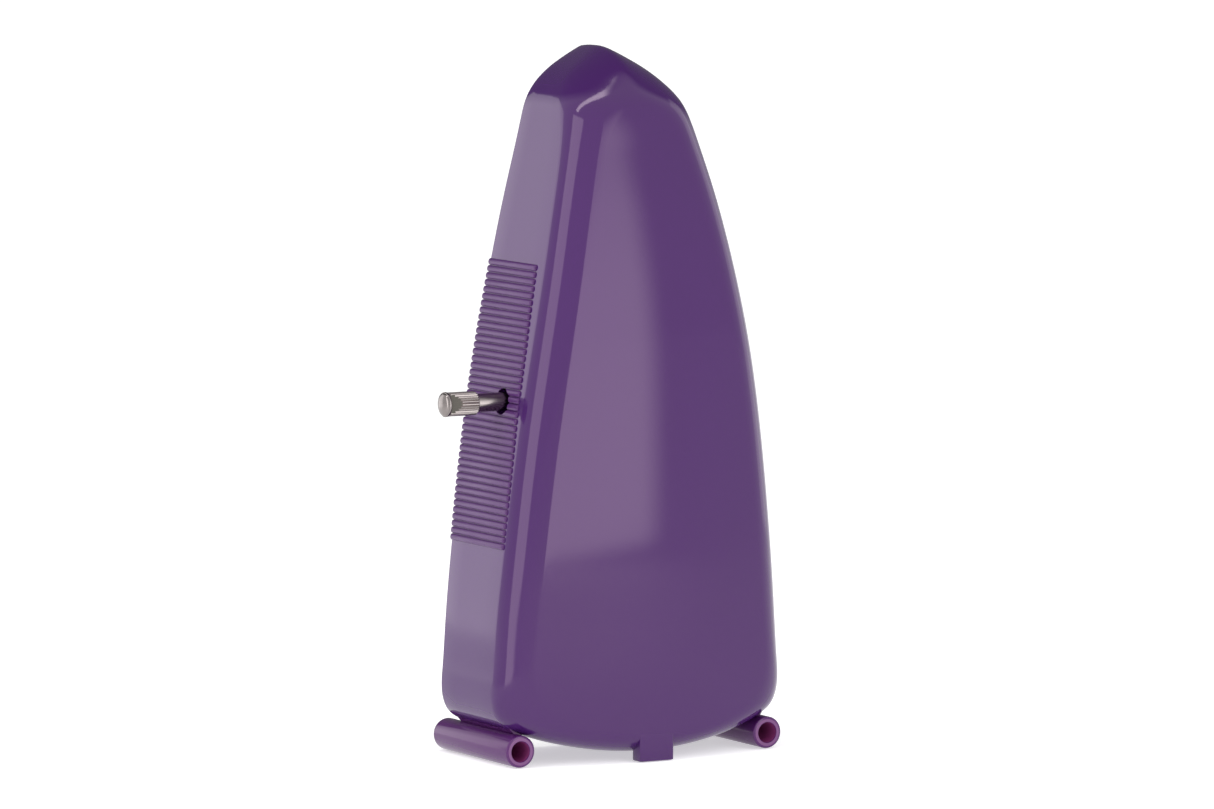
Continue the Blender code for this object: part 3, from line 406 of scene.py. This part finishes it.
brass = metal("brass", (0.68, 0.47, 0.19), 0.3, (0.04, 1, 1), 600.0, 0.008)
cast_bob = metal("cast_bob", (0.30, 0.30, 0.31), 0.5, (1, 1, 1), 260.0, 0.05, 0.8)


# ---------------------------------------------------------------- mesh helpers
def soft_shade(obj, sharp):
    """Smooth shading, with edges above sharp degrees left hard."""
    obj.data.shade_smooth()
    obj.data.set_sharp_from_angle(angle=math.radians(sharp))


def finish_mesh(name, bm, material, sharp=None):
    """New object from bm: flat, or smooth with edges above sharp degrees left hard."""
    bmesh.ops.recalc_face_normals(bm, faces=bm.faces)
    mesh = bpy.data.meshes.new(name)
    bm.to_mesh(mesh)
    bm.free()
    obj = bpy.data.objects.new(name, mesh)
    bpy.context.scene.collection.objects.link(obj)
    mesh.materials.append(material)
    if sharp:
        soft_shade(obj, sharp)
    return obj


def seat(obj, body, node):
    """Move a finished piece onto the model's origin and give it to its body."""
    obj.data.transform(Matrix.Translation((0, -REAR_FOOT_Y * MM, 0)))
    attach(obj, body)
    if node:
        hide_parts(node)


def apply_modifiers(obj):
    bpy.context.view_layer.update()
    source = obj.evaluated_get(bpy.context.evaluated_depsgraph_get())
    mesh = bpy.data.meshes.new_from_object(source)
    obj.modifiers.clear()
    obj.data = mesh


def cut_away(obj, cutter):
    modifier = obj.modifiers.new("cut", "BOOLEAN")
    modifier.operation = "DIFFERENCE"
    modifier.object = cutter
    apply_modifiers(obj)
    bpy.data.objects.remove(cutter, do_unlink=True)


def loft(bm, rings, close_start=False, close_end=False):
    """Quads between rings of (x, y, z) in millimetres."""
    made = [[bm.verts.new(Vector(p) * MM) for p in ring] for ring in rings]
    count = len(rings[0])
    for ring, following in zip(made, made[1:]):
        for i in range(count):
            j = (i + 1) % count
            bm.faces.new((ring[i], ring[j], following[j], following[i]))
    if close_start:
        bm.faces.new(made[0][::-1])
    if close_end:
        bm.faces.new(made[-1])
    return made


def spun(profile, segments, centre, axis):
    """Rings of a turned piece: profile of (radius, distance along the axis)."""
    rings = []
    along = Vector(axis)
    side = Vector((0, 0, 1)) if abs(along.z) < 0.5 else Vector((1, 0, 0))
    other = along.cross(side)
    for radius, distance in profile:
        ring = []
        for k in range(segments):
            angle = 2 * math.pi * k / segments
            point = (Vector(centre) + along * distance
                     + side * radius * math.cos(angle) + other * radius * math.sin(angle))
            ring.append(tuple(point))
        rings.append(ring)
    return rings


def turned(bm, profile, segments, centre, axis):
    """Turned solid whose profile starts and ends near the axis."""
    loft(bm, spun(profile, segments, centre, axis), True, True)


def add_block(bm, size, centre):
    """Add a plain block to bm, with its size and centre in millimetres."""
    made = bmesh.ops.create_cube(bm, size=1.0)["verts"]
    bmesh.ops.scale(bm, vec=Vector(size) * MM, verts=made)
    bmesh.ops.translate(bm, vec=Vector(centre) * MM, verts=made)


def cylinder_cutter(radius, low, high, centre, axis, segments=48):
    bm = bmesh.new()
    turned(bm, ((radius, low), (radius, high)), segments, centre, axis)
    return finish_mesh("cutter", bm, ink)


# Turns the XY plane that curves are drawn in up into the XZ plane.
UPRIGHT = Matrix(((1, 0, 0), (0, 0, -1), (0, 1, 0))).to_4x4()


def slab(name, outline, y_range, material, holes=(), edge=0.0, segments=2):
    """Flat piece lying in the XZ plane, with optional holes and softened edges."""
    y_front, y_back = y_range
    curve = bpy.data.curves.new(name, "CURVE")
    curve.dimensions = "2D"
    curve.fill_mode = "BOTH"
    curve.extrude = (y_back - y_front) * MM / 2
    for loop in (outline, *holes):
        spline = curve.splines.new("POLY")
        spline.points.add(len(loop) - 1)
        for point, (u, v) in zip(spline.points, loop):
            point.co = (u * MM, v * MM, 0, 1)
        spline.use_cyclic_u = True
    guide = bpy.data.objects.new(name + "_guide", curve)
    bpy.context.scene.collection.objects.link(guide)
    bpy.context.view_layer.update()
    source = guide.evaluated_get(bpy.context.evaluated_depsgraph_get())
    mesh = bpy.data.meshes.new_from_object(source)
    bpy.data.objects.remove(guide, do_unlink=True)
    place = Matrix.Translation(Vector((0, (y_front + y_back) / 2, 0)) * MM)
    bm = bmesh.new()
    bm.from_mesh(mesh)
    bmesh.ops.remove_doubles(bm, verts=bm.verts, dist=1e-6)
    bmesh.ops.dissolve_limit(bm, angle_limit=math.radians(1), verts=bm.verts,
                             edges=bm.edges)
    bmesh.ops.transform(bm, matrix=place @ UPRIGHT, verts=bm.verts)
    obj = finish_mesh(name, bm, material, 30)
    if edge:
        rounding = obj.modifiers.new("edge", "BEVEL")
        rounding.width = edge * MM
        rounding.segments = segments
        rounding.limit_method = "ANGLE"
        rounding.angle_limit = math.radians(40)
        apply_modifiers(obj)
        soft_shade(obj, 30)
    return obj


def circle(radius, steps, centre):
    return [(centre[0] + radius * math.cos(2 * math.pi * k / steps),
             centre[1] + radius * math.sin(2 * math.pi * k / steps)) for k in range(steps)]


# ------------------------------------------------------------------------ case
def shell_ring(front, back, turn, skin=0.0):
    """Ring of the rounded edge: turn 0 is the side wall, turn 1 the back."""
    angle = math.pi / 2 * turn
    share = 1 - math.cos(angle)
    ring = []
    for (x0, z0), (x1, z1), edge in zip(front, back, EDGES):
        x, z = lerp(x0, x1, share), lerp(z0, z1, share)
        ring.append((x, back_y(x, z) - skin - (edge - skin) * (1 - math.sin(angle)), z))
    return ring


def drooped(x, y, z):
    """Point of the shell, lowered a little where the roof meets the front."""
    rise = min(max((z - DROOP_Z) / DROOP_RISE, 0.0), 1.0)
    near = max(0.0, 1.0 - (y - FRONT_Y) / DROOP_REACH)
    return x, y, z - DROOP * rise * rise * near * near


def case_shell():
    """Closed shell: inner skin, rounded front lip, side walls, edge and back."""
    inner_front, inner_back = inset(FRONT, WALL), inset(BACK, BACK_INSET)
    rings = [shell_ring(inner_front, inner_back, k / INNER_EDGE_STEPS, WALL)
             for k in range(INNER_EDGE_STEPS, -1, -1)]
    for sine, cosine in quarter_turn(3):
        edge = inset(FRONT, WALL - INNER_LIP_ROUND * (1 - cosine))
        rings.append([(x, FRONT_Y + INNER_LIP_ROUND * (1 - sine), z) for x, z in edge])
    for sine, cosine in quarter_turn(6):
        edge = inset(FRONT, LIP_ROUND * (1 - sine))
        rings.append([(x, FRONT_Y + LIP_ROUND * (1 - cosine), z) for x, z in edge])
    wall_end = shell_ring(FRONT, BACK, 0.0)
    for share in (0.25, 0.5, 0.75):
        rings.append([(x, lerp(FRONT_Y + LIP_ROUND, y, share), z) for x, y, z in wall_end])
    rings += [shell_ring(FRONT, BACK, k / EDGE_STEPS) for k in range(EDGE_STEPS + 1)]
    bm = bmesh.new()
    made = loft(bm, [[drooped(*point) for point in ring] for ring in rings])
    fill_back(bm, made[0], WALL)
    fill_back(bm, made[-1], 0.0)
    return finish_mesh("case_shell", bm, case_plastic, 40)


def fill_back(bm, ring, skin):
    """Crowned sheet across a ring, in rows between its right and left points."""
    count = len(ring)
    half = count // 2
    rows = [[ring[0]]]
    for i in range(1, half):
        right, left = ring[i].co / MM, ring[count - i].co / MM
        row = [ring[i]]
        for c in range(1, BACK_COLUMNS):
            x = lerp(right.x, left.x, c / BACK_COLUMNS)
            row.append(bm.verts.new(Vector((x, back_y(x, right.z) - skin, right.z)) * MM))
        row.append(ring[count - i])
        rows.append(row)
    rows.append([ring[half]])
    for row, following in zip(rows, rows[1:]):
        if len(row) == 1:
            for a, b in zip(following, following[1:]):
                bm.faces.new((row[0], a, b))
        elif len(following) == 1:
            for a, b in zip(row, row[1:]):
                bm.faces.new((a, following[0], b))
        else:
            for a, b, c, d in zip(row, row[1:], following[1:], following):
                bm.faces.new((a, b, c, d))


def cut_key_hole(obj):
    """Drill the key hole through the right side."""
    cut_away(obj, cylinder_cutter(KEY_HOLE_RADIUS, *KEY_HOLE_X, (0, 0, KEY_Z), (1, 0, 0)))


def grip_ribs(name, side):
    """Half-round beads across one side wall; those on the right make room for the key."""
    section = [(-RIB_ROOT, -RIB_HALF_HEIGHT)]
    for k in range(11):
        angle = math.pi * (k / 10 - 0.5)
        section.append((RIB_PROUD * math.cos(angle), RIB_HALF_HEIGHT * math.sin(angle)))
    section.append((-RIB_ROOT, RIB_HALF_HEIGHT))
    bm = bmesh.new()
    for index in range(RIB_COUNT):
        z = RIB_BOTTOM_Z + RIB_PITCH * index
        slope = width_slope(z)
        out = Vector((1, 0, -slope)).normalized()
        up = Vector((slope, 0, 1)).normalized()
        base = Vector((half_width(z), 0, z))
        rear = rib_rear(z)
        stations = [(FRONT_Y + distance, size) for distance, size in RIB_FRONT_TAPER]
        stations += [(rear - distance, size) for distance, size in RIB_REAR_TAPER]
        rings = []
        for y, size in stations:
            ring = []
            for outward, upward in section:
                outward *= size if outward > 0 else 1.0
                point = base + out * outward + up * upward * (0.5 + 0.5 * size)
                ring.append((side * point.x, y, point.z))
            rings.append(ring)
        loft(bm, rings, True, True)
    obj = finish_mesh(name, bm, grip_plastic, 50)
    if side > 0:
        cut_key_hole(obj)
        obj.data.set_sharp_from_angle(angle=math.radians(50))
    return obj


def block_ring(z, inward, sunk):
    """Round-cornered outline of the block foot, its rear side following the back."""
    wide, front = BLOCK_HALF_WIDTH - inward, BLOCK_FRONT_Y + inward
    straight = wide - BLOCK_CORNER
    rear = [(x, back_y(x, BLOCK_REAR_Z) + BLOCK_PROUD - inward - sunk)
            for x in (lerp(-straight, straight, k / 8) for k in range(9))]
    side = [(wide - BLOCK_CORNER * (1 - sine), front + BLOCK_CORNER * (1 - cosine))
            for sine, cosine in quarter_turn(4)]
    side += [(wide - BLOCK_CORNER * (1 - cosine), rear[0][1] - BLOCK_CORNER * (1 - sine))
             for sine, cosine in quarter_turn(4)[:-1]]
    outline = [(-x, y) for x, y in side] + rear + side[::-1]
    return [(x, y, z) for x, y in outline]


def block_foot():
    """Block under the middle of the back, its rear face running into the crowned back."""
    bm = bmesh.new()
    loft(bm, [block_ring(*level) for level in BLOCK_LEVELS], True, True)
    return finish_mesh("block_foot", bm, case_plastic, 40)


def build_case():
    shell = case_shell()
    cut_key_hole(shell)
    soft_shade(shell, 40)
    seat(shell, "case", "rear_case")
    for name, side in (("grip_ribs_right", 1), ("grip_ribs_left", -1)):
        seat(grip_ribs(name, side), "case", None)
    seat(block_foot(), "case", None)


# ------------------------------------------------------------------------ feet
def tube_profile():
    """Bore, chamfered mouth, flat rim with a rounded edge, and rounded nose."""
    profile = [(TUBE_BORE - BORE_TAPER, TUBE_REAR_Y - BORE_DEPTH),
               (TUBE_BORE, TUBE_REAR_Y - MOUTH_LENGTH),
               (TUBE_BORE + MOUTH_WIDTH, TUBE_REAR_Y),
               (TUBE_RADIUS - RIM_WIDTH, TUBE_REAR_Y)]
    profile += [(TUBE_RADIUS - RIM_WIDTH * (1 - sine), TUBE_REAR_Y - RIM_LENGTH * (1 - cosine))
                for sine, cosine in quarter_turn(5)[1:]]
    profile += [(TUBE_RADIUS - NOSE_WIDTH * (1 - cosine), TUBE_FRONT_Y + NOSE_LENGTH * (1 - sine))
                for sine, cosine in quarter_turn(12)]
    return profile


def foot_tube(name, side):
    """Tubular foot and the saddle that joins it to the case, with its cut end and a painted glow
    in its bore.
    """
    bm = bmesh.new()
    turned(bm, tube_profile(), 72, (side * TUBE_X, 0, TUBE_RADIUS), (0, 1, 0))
    loft(bm, [[(side * x, y, z) for x, z in SADDLE_SECTION] for y in SADDLE_Y], True, True)
    obj = finish_mesh(name, bm, foot_plastic, 40)
    obj.data.materials.append(bore_painted_glow)
    obj.data.materials.append(cut_plastic)
    slack = 0.01
    for face in obj.data.polygons:
        x, y, z = face.center / MM
        radius = math.hypot(x - side * TUBE_X, z - TUBE_RADIUS)
        behind_nose = y > TUBE_FRONT_Y + NOSE_WIDTH
        # Faces inside the bore get the painted glow of light through the plastic.
        if radius < TUBE_BORE + slack and behind_nose and y < TUBE_REAR_Y - MOUTH_LENGTH / 2:
            face.material_index = 1
        elif (TUBE_BORE + MOUTH_WIDTH + slack < radius < TUBE_RADIUS - RIM_WIDTH + slack
                and y > TUBE_REAR_Y - slack):
            face.material_index = 2
    return obj


def build_feet():
    for name, node, side in (("tube_foot_right", "foot_tube_right", 1),
                             ("tube_foot_left", "foot_tube_left", -1)):
        seat(foot_tube(name, side), "case", node)


# ------------------------------------------------------------------------- key
def knurled_head():
    """Straight-knurled head with two thumb flats cut into it."""
    count = RIDGE_COUNT * RIDGE_STEPS
    rings = []
    for x, scale in HEAD_STATIONS:
        ring = []
        for k in range(count):
            angle = 2 * math.pi * k / count
            wave = abs(((k / RIDGE_STEPS) % 1.0) - 0.5) * 2
            radius = (RIDGE_ROOT + RIDGE_HEIGHT * min(1.0, wave * 1.5)) * scale
            ring.append((x, radius * math.cos(angle), KEY_Z + radius * math.sin(angle)))
        rings.append(ring)
    bm = bmesh.new()
    loft(bm, rings, True, True)
    head = finish_mesh("key_head", bm, nickel, 30)
    tilt = Matrix.Rotation(math.radians(FLAT_TILT), 4, "Y")
    lift = Matrix.Translation(Vector((FLAT_X, 0, FLAT_HEIGHT)) * MM)
    axis = Matrix.Translation(Vector((0, 0, KEY_Z)) * MM)
    for opposite in (0, 180):
        wedge = bmesh.new()
        add_block(wedge, FLAT_SIZE, FLAT_CENTRE)
        spin = Matrix.Rotation(math.radians(FLAT_SPIN + opposite), 4, "X")
        bmesh.ops.transform(wedge, matrix=axis @ spin @ lift @ tilt, verts=wedge.verts)
        cut_away(head, finish_mesh("cutter", wedge, ink))
    return head


def winding_key():
    """Plain shaft, knurled head and domed cap, with painted shade between the ridges and on the
    thumb flats.
    """
    head = knurled_head()
    bm = bmesh.new()
    bm.from_mesh(head.data)
    bpy.data.objects.remove(head, do_unlink=True)
    cap = [(AXIS_FLAT, DOME_X + DOME_HEIGHT)]
    cap += [(DOME_RADIUS * sine, DOME_X + DOME_HEIGHT * cosine)
            for sine, cosine in quarter_turn(8)[1:]]
    turned(bm, (*cap, *CAP_RIM), 64, (0, 0, KEY_Z), (1, 0, 0))
    turned(bm, SHAFT, 48, (0, 0, KEY_Z), (1, 0, 0))
    obj = finish_mesh("winding_key_nickel", bm, nickel, 30)
    obj.data.materials.append(nickel_painted_shade)
    # Groove bottoms and thumb flats get the painted shade and dark reflection.
    for face in obj.data.polygons:
        x, y, z = face.center / MM
        between_ridges = math.hypot(y, z - KEY_Z) < RIDGE_ROOT + 0.04
        if HEAD_REAR_X < x < CAP_REAR_X and (between_ridges or face.normal.x > 0.2):
            face.material_index = 1
    return obj


def build_key():
    seat(winding_key(), "winding", "winding_key")


# ----------------------------------------------------------------------- front
def screw_head(name, centre, size, body, node, turn):
    """Domed slotted screw facing the front."""
    radius, height, depth = size
    profile = [(AXIS_FLAT, -height)]
    profile += [(radius * sine, -height * (0.55 + 0.45 * cosine))
                for sine, cosine in quarter_turn(7)[1:]]
    profile += [(radius, -0.05), (radius - 0.06, 0.0), (SCREW_SHANK, 0.0),
                (SCREW_SHANK, depth - 0.3), (SCREW_TIP, depth), (AXIS_FLAT, depth)]
    bm = bmesh.new()
    turned(bm, profile, 40, centre, (0, 1, 0))
    obj = finish_mesh(name, bm, steel, 35)
    slot = bmesh.new()
    add_block(slot, (radius * 3, height, SLOT_WIDTH), (0, 0, 0))
    lift = Matrix.Translation(Vector((centre[0], centre[1] - height, centre[2])) * MM)
    bmesh.ops.transform(slot, matrix=lift @ Matrix.Rotation(math.radians(turn), 4, "Y"),
                        verts=slot.verts)
    cut_away(obj, finish_mesh("cutter", slot, ink))
    obj.data.set_sharp_from_angle(angle=math.radians(35))
    seat(obj, body, node)


def add_text(bm, body, x, z, align):
    """Add one flat raised number to bm."""
    curve = bpy.data.curves.new("figures", "FONT")
    curve.body = body
    curve.size = FIGURE_SIZE * MM
    curve.align_x = align
    curve.align_y = "CENTER"
    curve.extrude = INK_THICKNESS / 2 * MM
    curve.resolution_u = 3
    guide = bpy.data.objects.new("figures", curve)
    bpy.context.scene.collection.objects.link(guide)
    guide.matrix_world = Matrix.Translation(Vector((x, INK_Y, z)) * MM) @ UPRIGHT
    bpy.context.view_layer.update()
    source = guide.evaluated_get(bpy.context.evaluated_depsgraph_get())
    mesh = bpy.data.meshes.new_from_object(source)
    mesh.transform(guide.matrix_world)
    bm.from_mesh(mesh)
    bpy.data.objects.remove(guide, do_unlink=True)
    bpy.data.meshes.remove(mesh)


def scale_plate():
    """Tapered plate with rounded corners."""
    (bottom, top), (wide, narrow) = SCALE_Z, SCALE_HALF_WIDTHS
    outline = []
    for x, z, start in ((wide, bottom, 270), (narrow, top, 0), (-narrow, top, 90),
                        (-wide, bottom, 180)):
        middle_x = x - math.copysign(SCALE_CORNER, x)
        middle_z = z + (SCALE_CORNER if z == bottom else -SCALE_CORNER)
        for k in range(7):
            angle = math.radians(start + 90 * k / 6)
            outline.append((middle_x + SCALE_CORNER * math.cos(angle),
                            middle_z + SCALE_CORNER * math.sin(angle)))
    plate = slab("scale_plate", outline, SCALE_Y, scale_metal, edge=SCALE_EDGE)
    seat(plate, "case", "tempo_scale")


def scale_figures():
    """Tempo numbers and their marks on both sides of two upright lines."""
    bm = bmesh.new()
    highest, lowest = MARKS_Z
    near, far = MARK_X
    for marks, side, shift in ((TEMPI_LEFT, -1, 0.0), (TEMPI_RIGHT, 1, 0.5)):
        for index, tempo in enumerate(marks):
            z = lerp(highest, lowest, (index + shift) / (len(TEMPI_LEFT) - 1))
            add_block(bm, (far - near, INK_THICKNESS, MARK_HEIGHT),
                      (side * (near + far) / 2, INK_Y, z))
            add_text(bm, str(tempo), side * FIGURE_X, z, "LEFT" if side > 0 else "RIGHT")
    for x in (-near, near):
        add_block(bm, (LINE_WIDTH, INK_THICKNESS, LINE_HEIGHT),
                  (x, INK_Y, (highest + lowest) / 2))
    seat(finish_mesh("scale_figures", bm, ink), "case", None)


def front_panel():
    holes = [circle(SCREW_HOLE_RADIUS, 24, (x, z)) for _, x, z, _ in PANEL_SCREWS]
    holes.append(circle(PIVOT_HOLE_RADIUS, 32, (0, PIVOT_Z)))
    panel = slab("panel_moulding", inset(FRONT, PANEL_INSET), PANEL_Y, panel_plastic, holes,
                 PANEL_EDGE)
    seat(panel, "case", "front_panel")


def rod_catch():
    """Spring clip with two jaws for the rod."""
    loop = [(-x, y) for x, y in CATCH_OUTLINE] + list(reversed(CATCH_OUTLINE))
    bm = bmesh.new()
    loft(bm, [[(x, y, z) for x, y in loop] for z in CATCH_Z], True, True)
    bmesh.ops.recalc_face_normals(bm, faces=bm.faces)
    bmesh.ops.bevel(bm, geom=bm.edges[:], offset=CATCH_EDGE * MM, segments=2, affect="EDGES")
    seat(finish_mesh("catch_clip", bm, steel, 30), "case", "rod_catch")


def build_front():
    front_panel()
    scale_plate()
    scale_figures()
    rod_catch()
    for name, x, z, turn in PANEL_SCREWS:
        screw_head("panel_fixing_" + name, (x, PANEL_SCREW_Y, z), PANEL_SCREW_SIZE, "case",
                   "panel_screw_" + name, turn)


# -------------------------------------------------------------------- pendulum
def pendulum_rod():
    dome_z = ROD_TOP_Z - ROD_RADIUS
    profile = [(AXIS_FLAT, ROD_TOP_Z)]
    profile += [(ROD_RADIUS * sine, dome_z + ROD_RADIUS * cosine)
                for sine, cosine in quarter_turn(7)[1:]]
    profile += [(ROD_RADIUS, ROD_BOTTOM_Z), (AXIS_FLAT, ROD_BOTTOM_Z)]
    bm = bmesh.new()
    turned(bm, profile, 32, (0, ROD_Y, 0), (0, 0, 1))
    obj = finish_mesh("rod_nickel", bm, nickel_rod, 35)
    seat(obj, "pendulum", "pendulum_rod")


def rod_hub():
    """Block that holds the rod's foot, narrower towards the top."""
    bm = bmesh.new()
    add_block(bm, HUB_SIZE, (0, ROD_Y, PIVOT_Z + HUB_LIFT))
    for vert in bm.verts:
        if vert.co.z > PIVOT_Z * MM:
            vert.co.x *= HUB_TOP_SHARE
    bmesh.ops.bevel(bm, geom=bm.edges[:], offset=HUB_ROUND * MM, segments=4, affect="EDGES",
                    profile=0.5)
    obj = finish_mesh("hub_block", bm, nickel_weight, 30)
    seat(obj, "pendulum", "rod_hub")


def tempo_weight():
    """Tapered weight with a bore for the rod, a pocket in its back and soft edges."""
    bottom, top = WEIGHT_Z - WEIGHT_HALF_HEIGHT, WEIGHT_Z + WEIGHT_HALF_HEIGHT
    narrow, wide = WEIGHT_HALF_WIDTHS
    outline = [(narrow, bottom), (wide, top), (-wide, top), (-narrow, bottom)]
    depth = (ROD_Y - WEIGHT_HALF_DEPTH, ROD_Y + WEIGHT_HALF_DEPTH)
    body = slab("tempo_weight_body", outline, depth, nickel_weight, (), WEIGHT_ROUND, 4)
    cut_away(body, cylinder_cutter(WEIGHT_BORE, -10, 10, (0, ROD_Y, WEIGHT_Z), (0, 0, 1), 32))
    pocket = bmesh.new()
    add_block(pocket, POCKET_SIZE, (0, ROD_Y + POCKET_BACK, WEIGHT_Z))
    cut_away(body, finish_mesh("cutter", pocket, ink))
    soft_shade(body, 30)
    seat(body, "weight", "tempo_weight")


def build_pendulum():
    pendulum_rod()
    rod_hub()
    tempo_weight()
    screw_head("hub_fixing", (0, HUB_SCREW_Y, PIVOT_Z), HUB_SCREW_SIZE, "pendulum",
               "hub_screw", 15)


# ----------------------------------------------------------- hidden movement
def dress_movement():
    """Give every piece of the model that is shown as it is its metal and its shading."""
    metals = {
        brass: ("spring_barrel", "barrel_cap", "second_wheel", "escape_wheel",
                "front_bridge", "rear_bridge", "frame_plate_right", "frame_plate_left"),
        spring_steel: ("mainspring", "click_spring", "weight_spring"),
        cast_bob: ("pendulum_bob",),
    }
    chosen = {name: material for material, names in metals.items() for name in names}
    for name, node in nodes.items():
        node.data.materials.clear()
        node.data.materials.append(chosen.get(name, steel))
        soft_shade(node, 32)


# ---------------------------------------------------------------------- studio
def fade_edges(light, fade):
    """Dim a rectangular light towards its left, right, lower and upper edges."""
    light.use_nodes = True
    tree = light.node_tree
    place = add_node(tree, "ShaderNodeNewGeometry")
    split = add_node(tree, "ShaderNodeSeparateXYZ")
    tree.links.new(place.outputs["Parametric"], split.inputs[0])
    level = None
    for width, axis, far in zip(fade, "XXYY", (False, True, False, True)):
        if not width:
            continue
        start, end = (1.0, 1.0 - width) if far else (0.0, width)
        edge = ramp(tree, split.outputs[axis], 0, 1, start, end)
        edge.node.interpolation_type = "SMOOTHSTEP"
        if level is None:
            level = edge
        else:
            both = add_node(tree, "ShaderNodeMath", operation="MULTIPLY")
            tree.links.new(level, both.inputs[0])
            tree.links.new(edge, both.inputs[1])
            level = both.outputs[0]
    tree.links.new(level, tree.nodes["Emission"].inputs["Strength"])


def softbox(name, centre, towards, size, luminance, roll=0.0, fade=(0, 0, 0, 0)):
    """Rectangular light; centre and the point it faces in metres from the winding axis.

    fade is the share of its width or height that its left, right, lower and upper
    edges take to dim to nothing.
    """
    light = bpy.data.lights.new(name, "AREA")
    light.shape = "RECTANGLE"
    light.size, light.size_y = size
    light.energy = luminance * math.pi * size[0] * size[1]
    if any(fade):
        fade_edges(light, fade)
    obj = bpy.data.objects.new(name, light)
    bpy.context.scene.collection.objects.link(obj)
    centre, towards = Vector(centre), Vector(towards)
    facing = (towards - centre).to_track_quat("-Z", "Y").to_matrix().to_4x4()
    lift = Matrix.Translation(centre - Vector((0, REAR_FOOT_Y * MM, 0)))
    obj.matrix_world = lift @ facing @ Matrix.Rotation(math.radians(roll), 4, "Z")
    obj.visible_camera = False


def build_floor():
    bm = bmesh.new()
    bmesh.ops.create_grid(bm, x_segments=1, y_segments=1, size=9.0)
    material, _, shader = node_material("pale_floor")
    shader.inputs["Base Color"].default_value = (0.82, 0.82, 0.82, 1)
    shader.inputs["Roughness"].default_value = 0.9
    shader.inputs["Specular IOR Level"].default_value = 0.0
    shader.inputs["Emission Color"].default_value = (1, 1, 1, 1)
    shader.inputs["Emission Strength"].default_value = 0.5
    floor = finish_mesh("floor", bm, material)
    floor.location.z = -0.0002


def build_world():
    """White surroundings that dim high up towards the front left."""
    world = bpy.data.worlds.new("studio")
    bpy.context.scene.world = world
    world.use_nodes = True
    tree = world.node_tree
    background = tree.nodes["Background"]
    coords = tree.nodes.new("ShaderNodeTexCoord")
    facing = tree.nodes.new("ShaderNodeVectorMath")
    facing.operation = "DOT_PRODUCT"
    facing.inputs[1].default_value = (-0.324, -0.694, 0.643)
    tree.links.new(coords.outputs["Generated"], facing.inputs[0])
    dim = ramp(tree, facing.outputs["Value"], low=1.02, high=0.18, start=0.64, end=0.77)
    tree.links.new(dim, background.inputs["Strength"])
    background.inputs["Color"].default_value = (1, 1, 1, 1)


def build_lights():
    softbox("front_right_panel", centre=(0.257, -0.439, 0.177), towards=(0, 0, 0.177),
            size=(0.25, 0.354), luminance=0.95)
    softbox("right_softbox", centre=(0.36, 0.06, 0.20), towards=(0, 0.06, 0.12),
            size=(0.20, 0.46), luminance=1.95, roll=16.0, fade=(0, 0, 0.05, 0))
    softbox("rear_left_panel", centre=(-0.064, 0.279, 0.22), towards=(-0.02, 0.0, 0.22),
            size=(0.168, 0.44), luminance=2.3, roll=3.0, fade=(0, 0.22, 0.02, 0.75))
    softbox("left_rim_panel", centre=(-0.50, -0.03, 0.26), towards=(0, 0, 0.26),
            size=(0.22, 0.50), luminance=0.5)
    softbox("top_strip", centre=(0.24, -0.046, 0.75), towards=(0.24, -0.046, 0.0),
            size=(0.68, 0.075), luminance=5.2, roll=-10.5, fade=(0.12, 0, 0, 0))


def build_camera():
    azimuth, elevation = math.radians(CAMERA_AZIMUTH), math.radians(CAMERA_ELEVATION)
    back = Vector((math.sin(azimuth) * math.cos(elevation),
                   -math.cos(azimuth) * math.cos(elevation), math.sin(elevation)))
    data = bpy.data.cameras.new("camera")
    data.sensor_width = 36.0
    data.lens = CAMERA_LENS
    data.clip_start, data.clip_end = 0.1, 50.0
    camera = bpy.data.objects.new("camera", data)
    bpy.context.scene.collection.objects.link(camera)
    camera.rotation_mode = "QUATERNION"
    camera.rotation_quaternion = (-back).to_track_quat("-Z", "Y")
    camera.location = Vector(CAMERA_TARGET) + back * CAMERA_DISTANCE
    bpy.context.scene.camera = camera


build_camera()
build_case()
build_feet()
build_key()
build_front()
build_pendulum()
dress_movement()
build_floor()
build_world()
build_lights()
bpy.context.scene.view_settings.view_transform = "Standard"
bpy.context.scene.view_settings.look = "None"
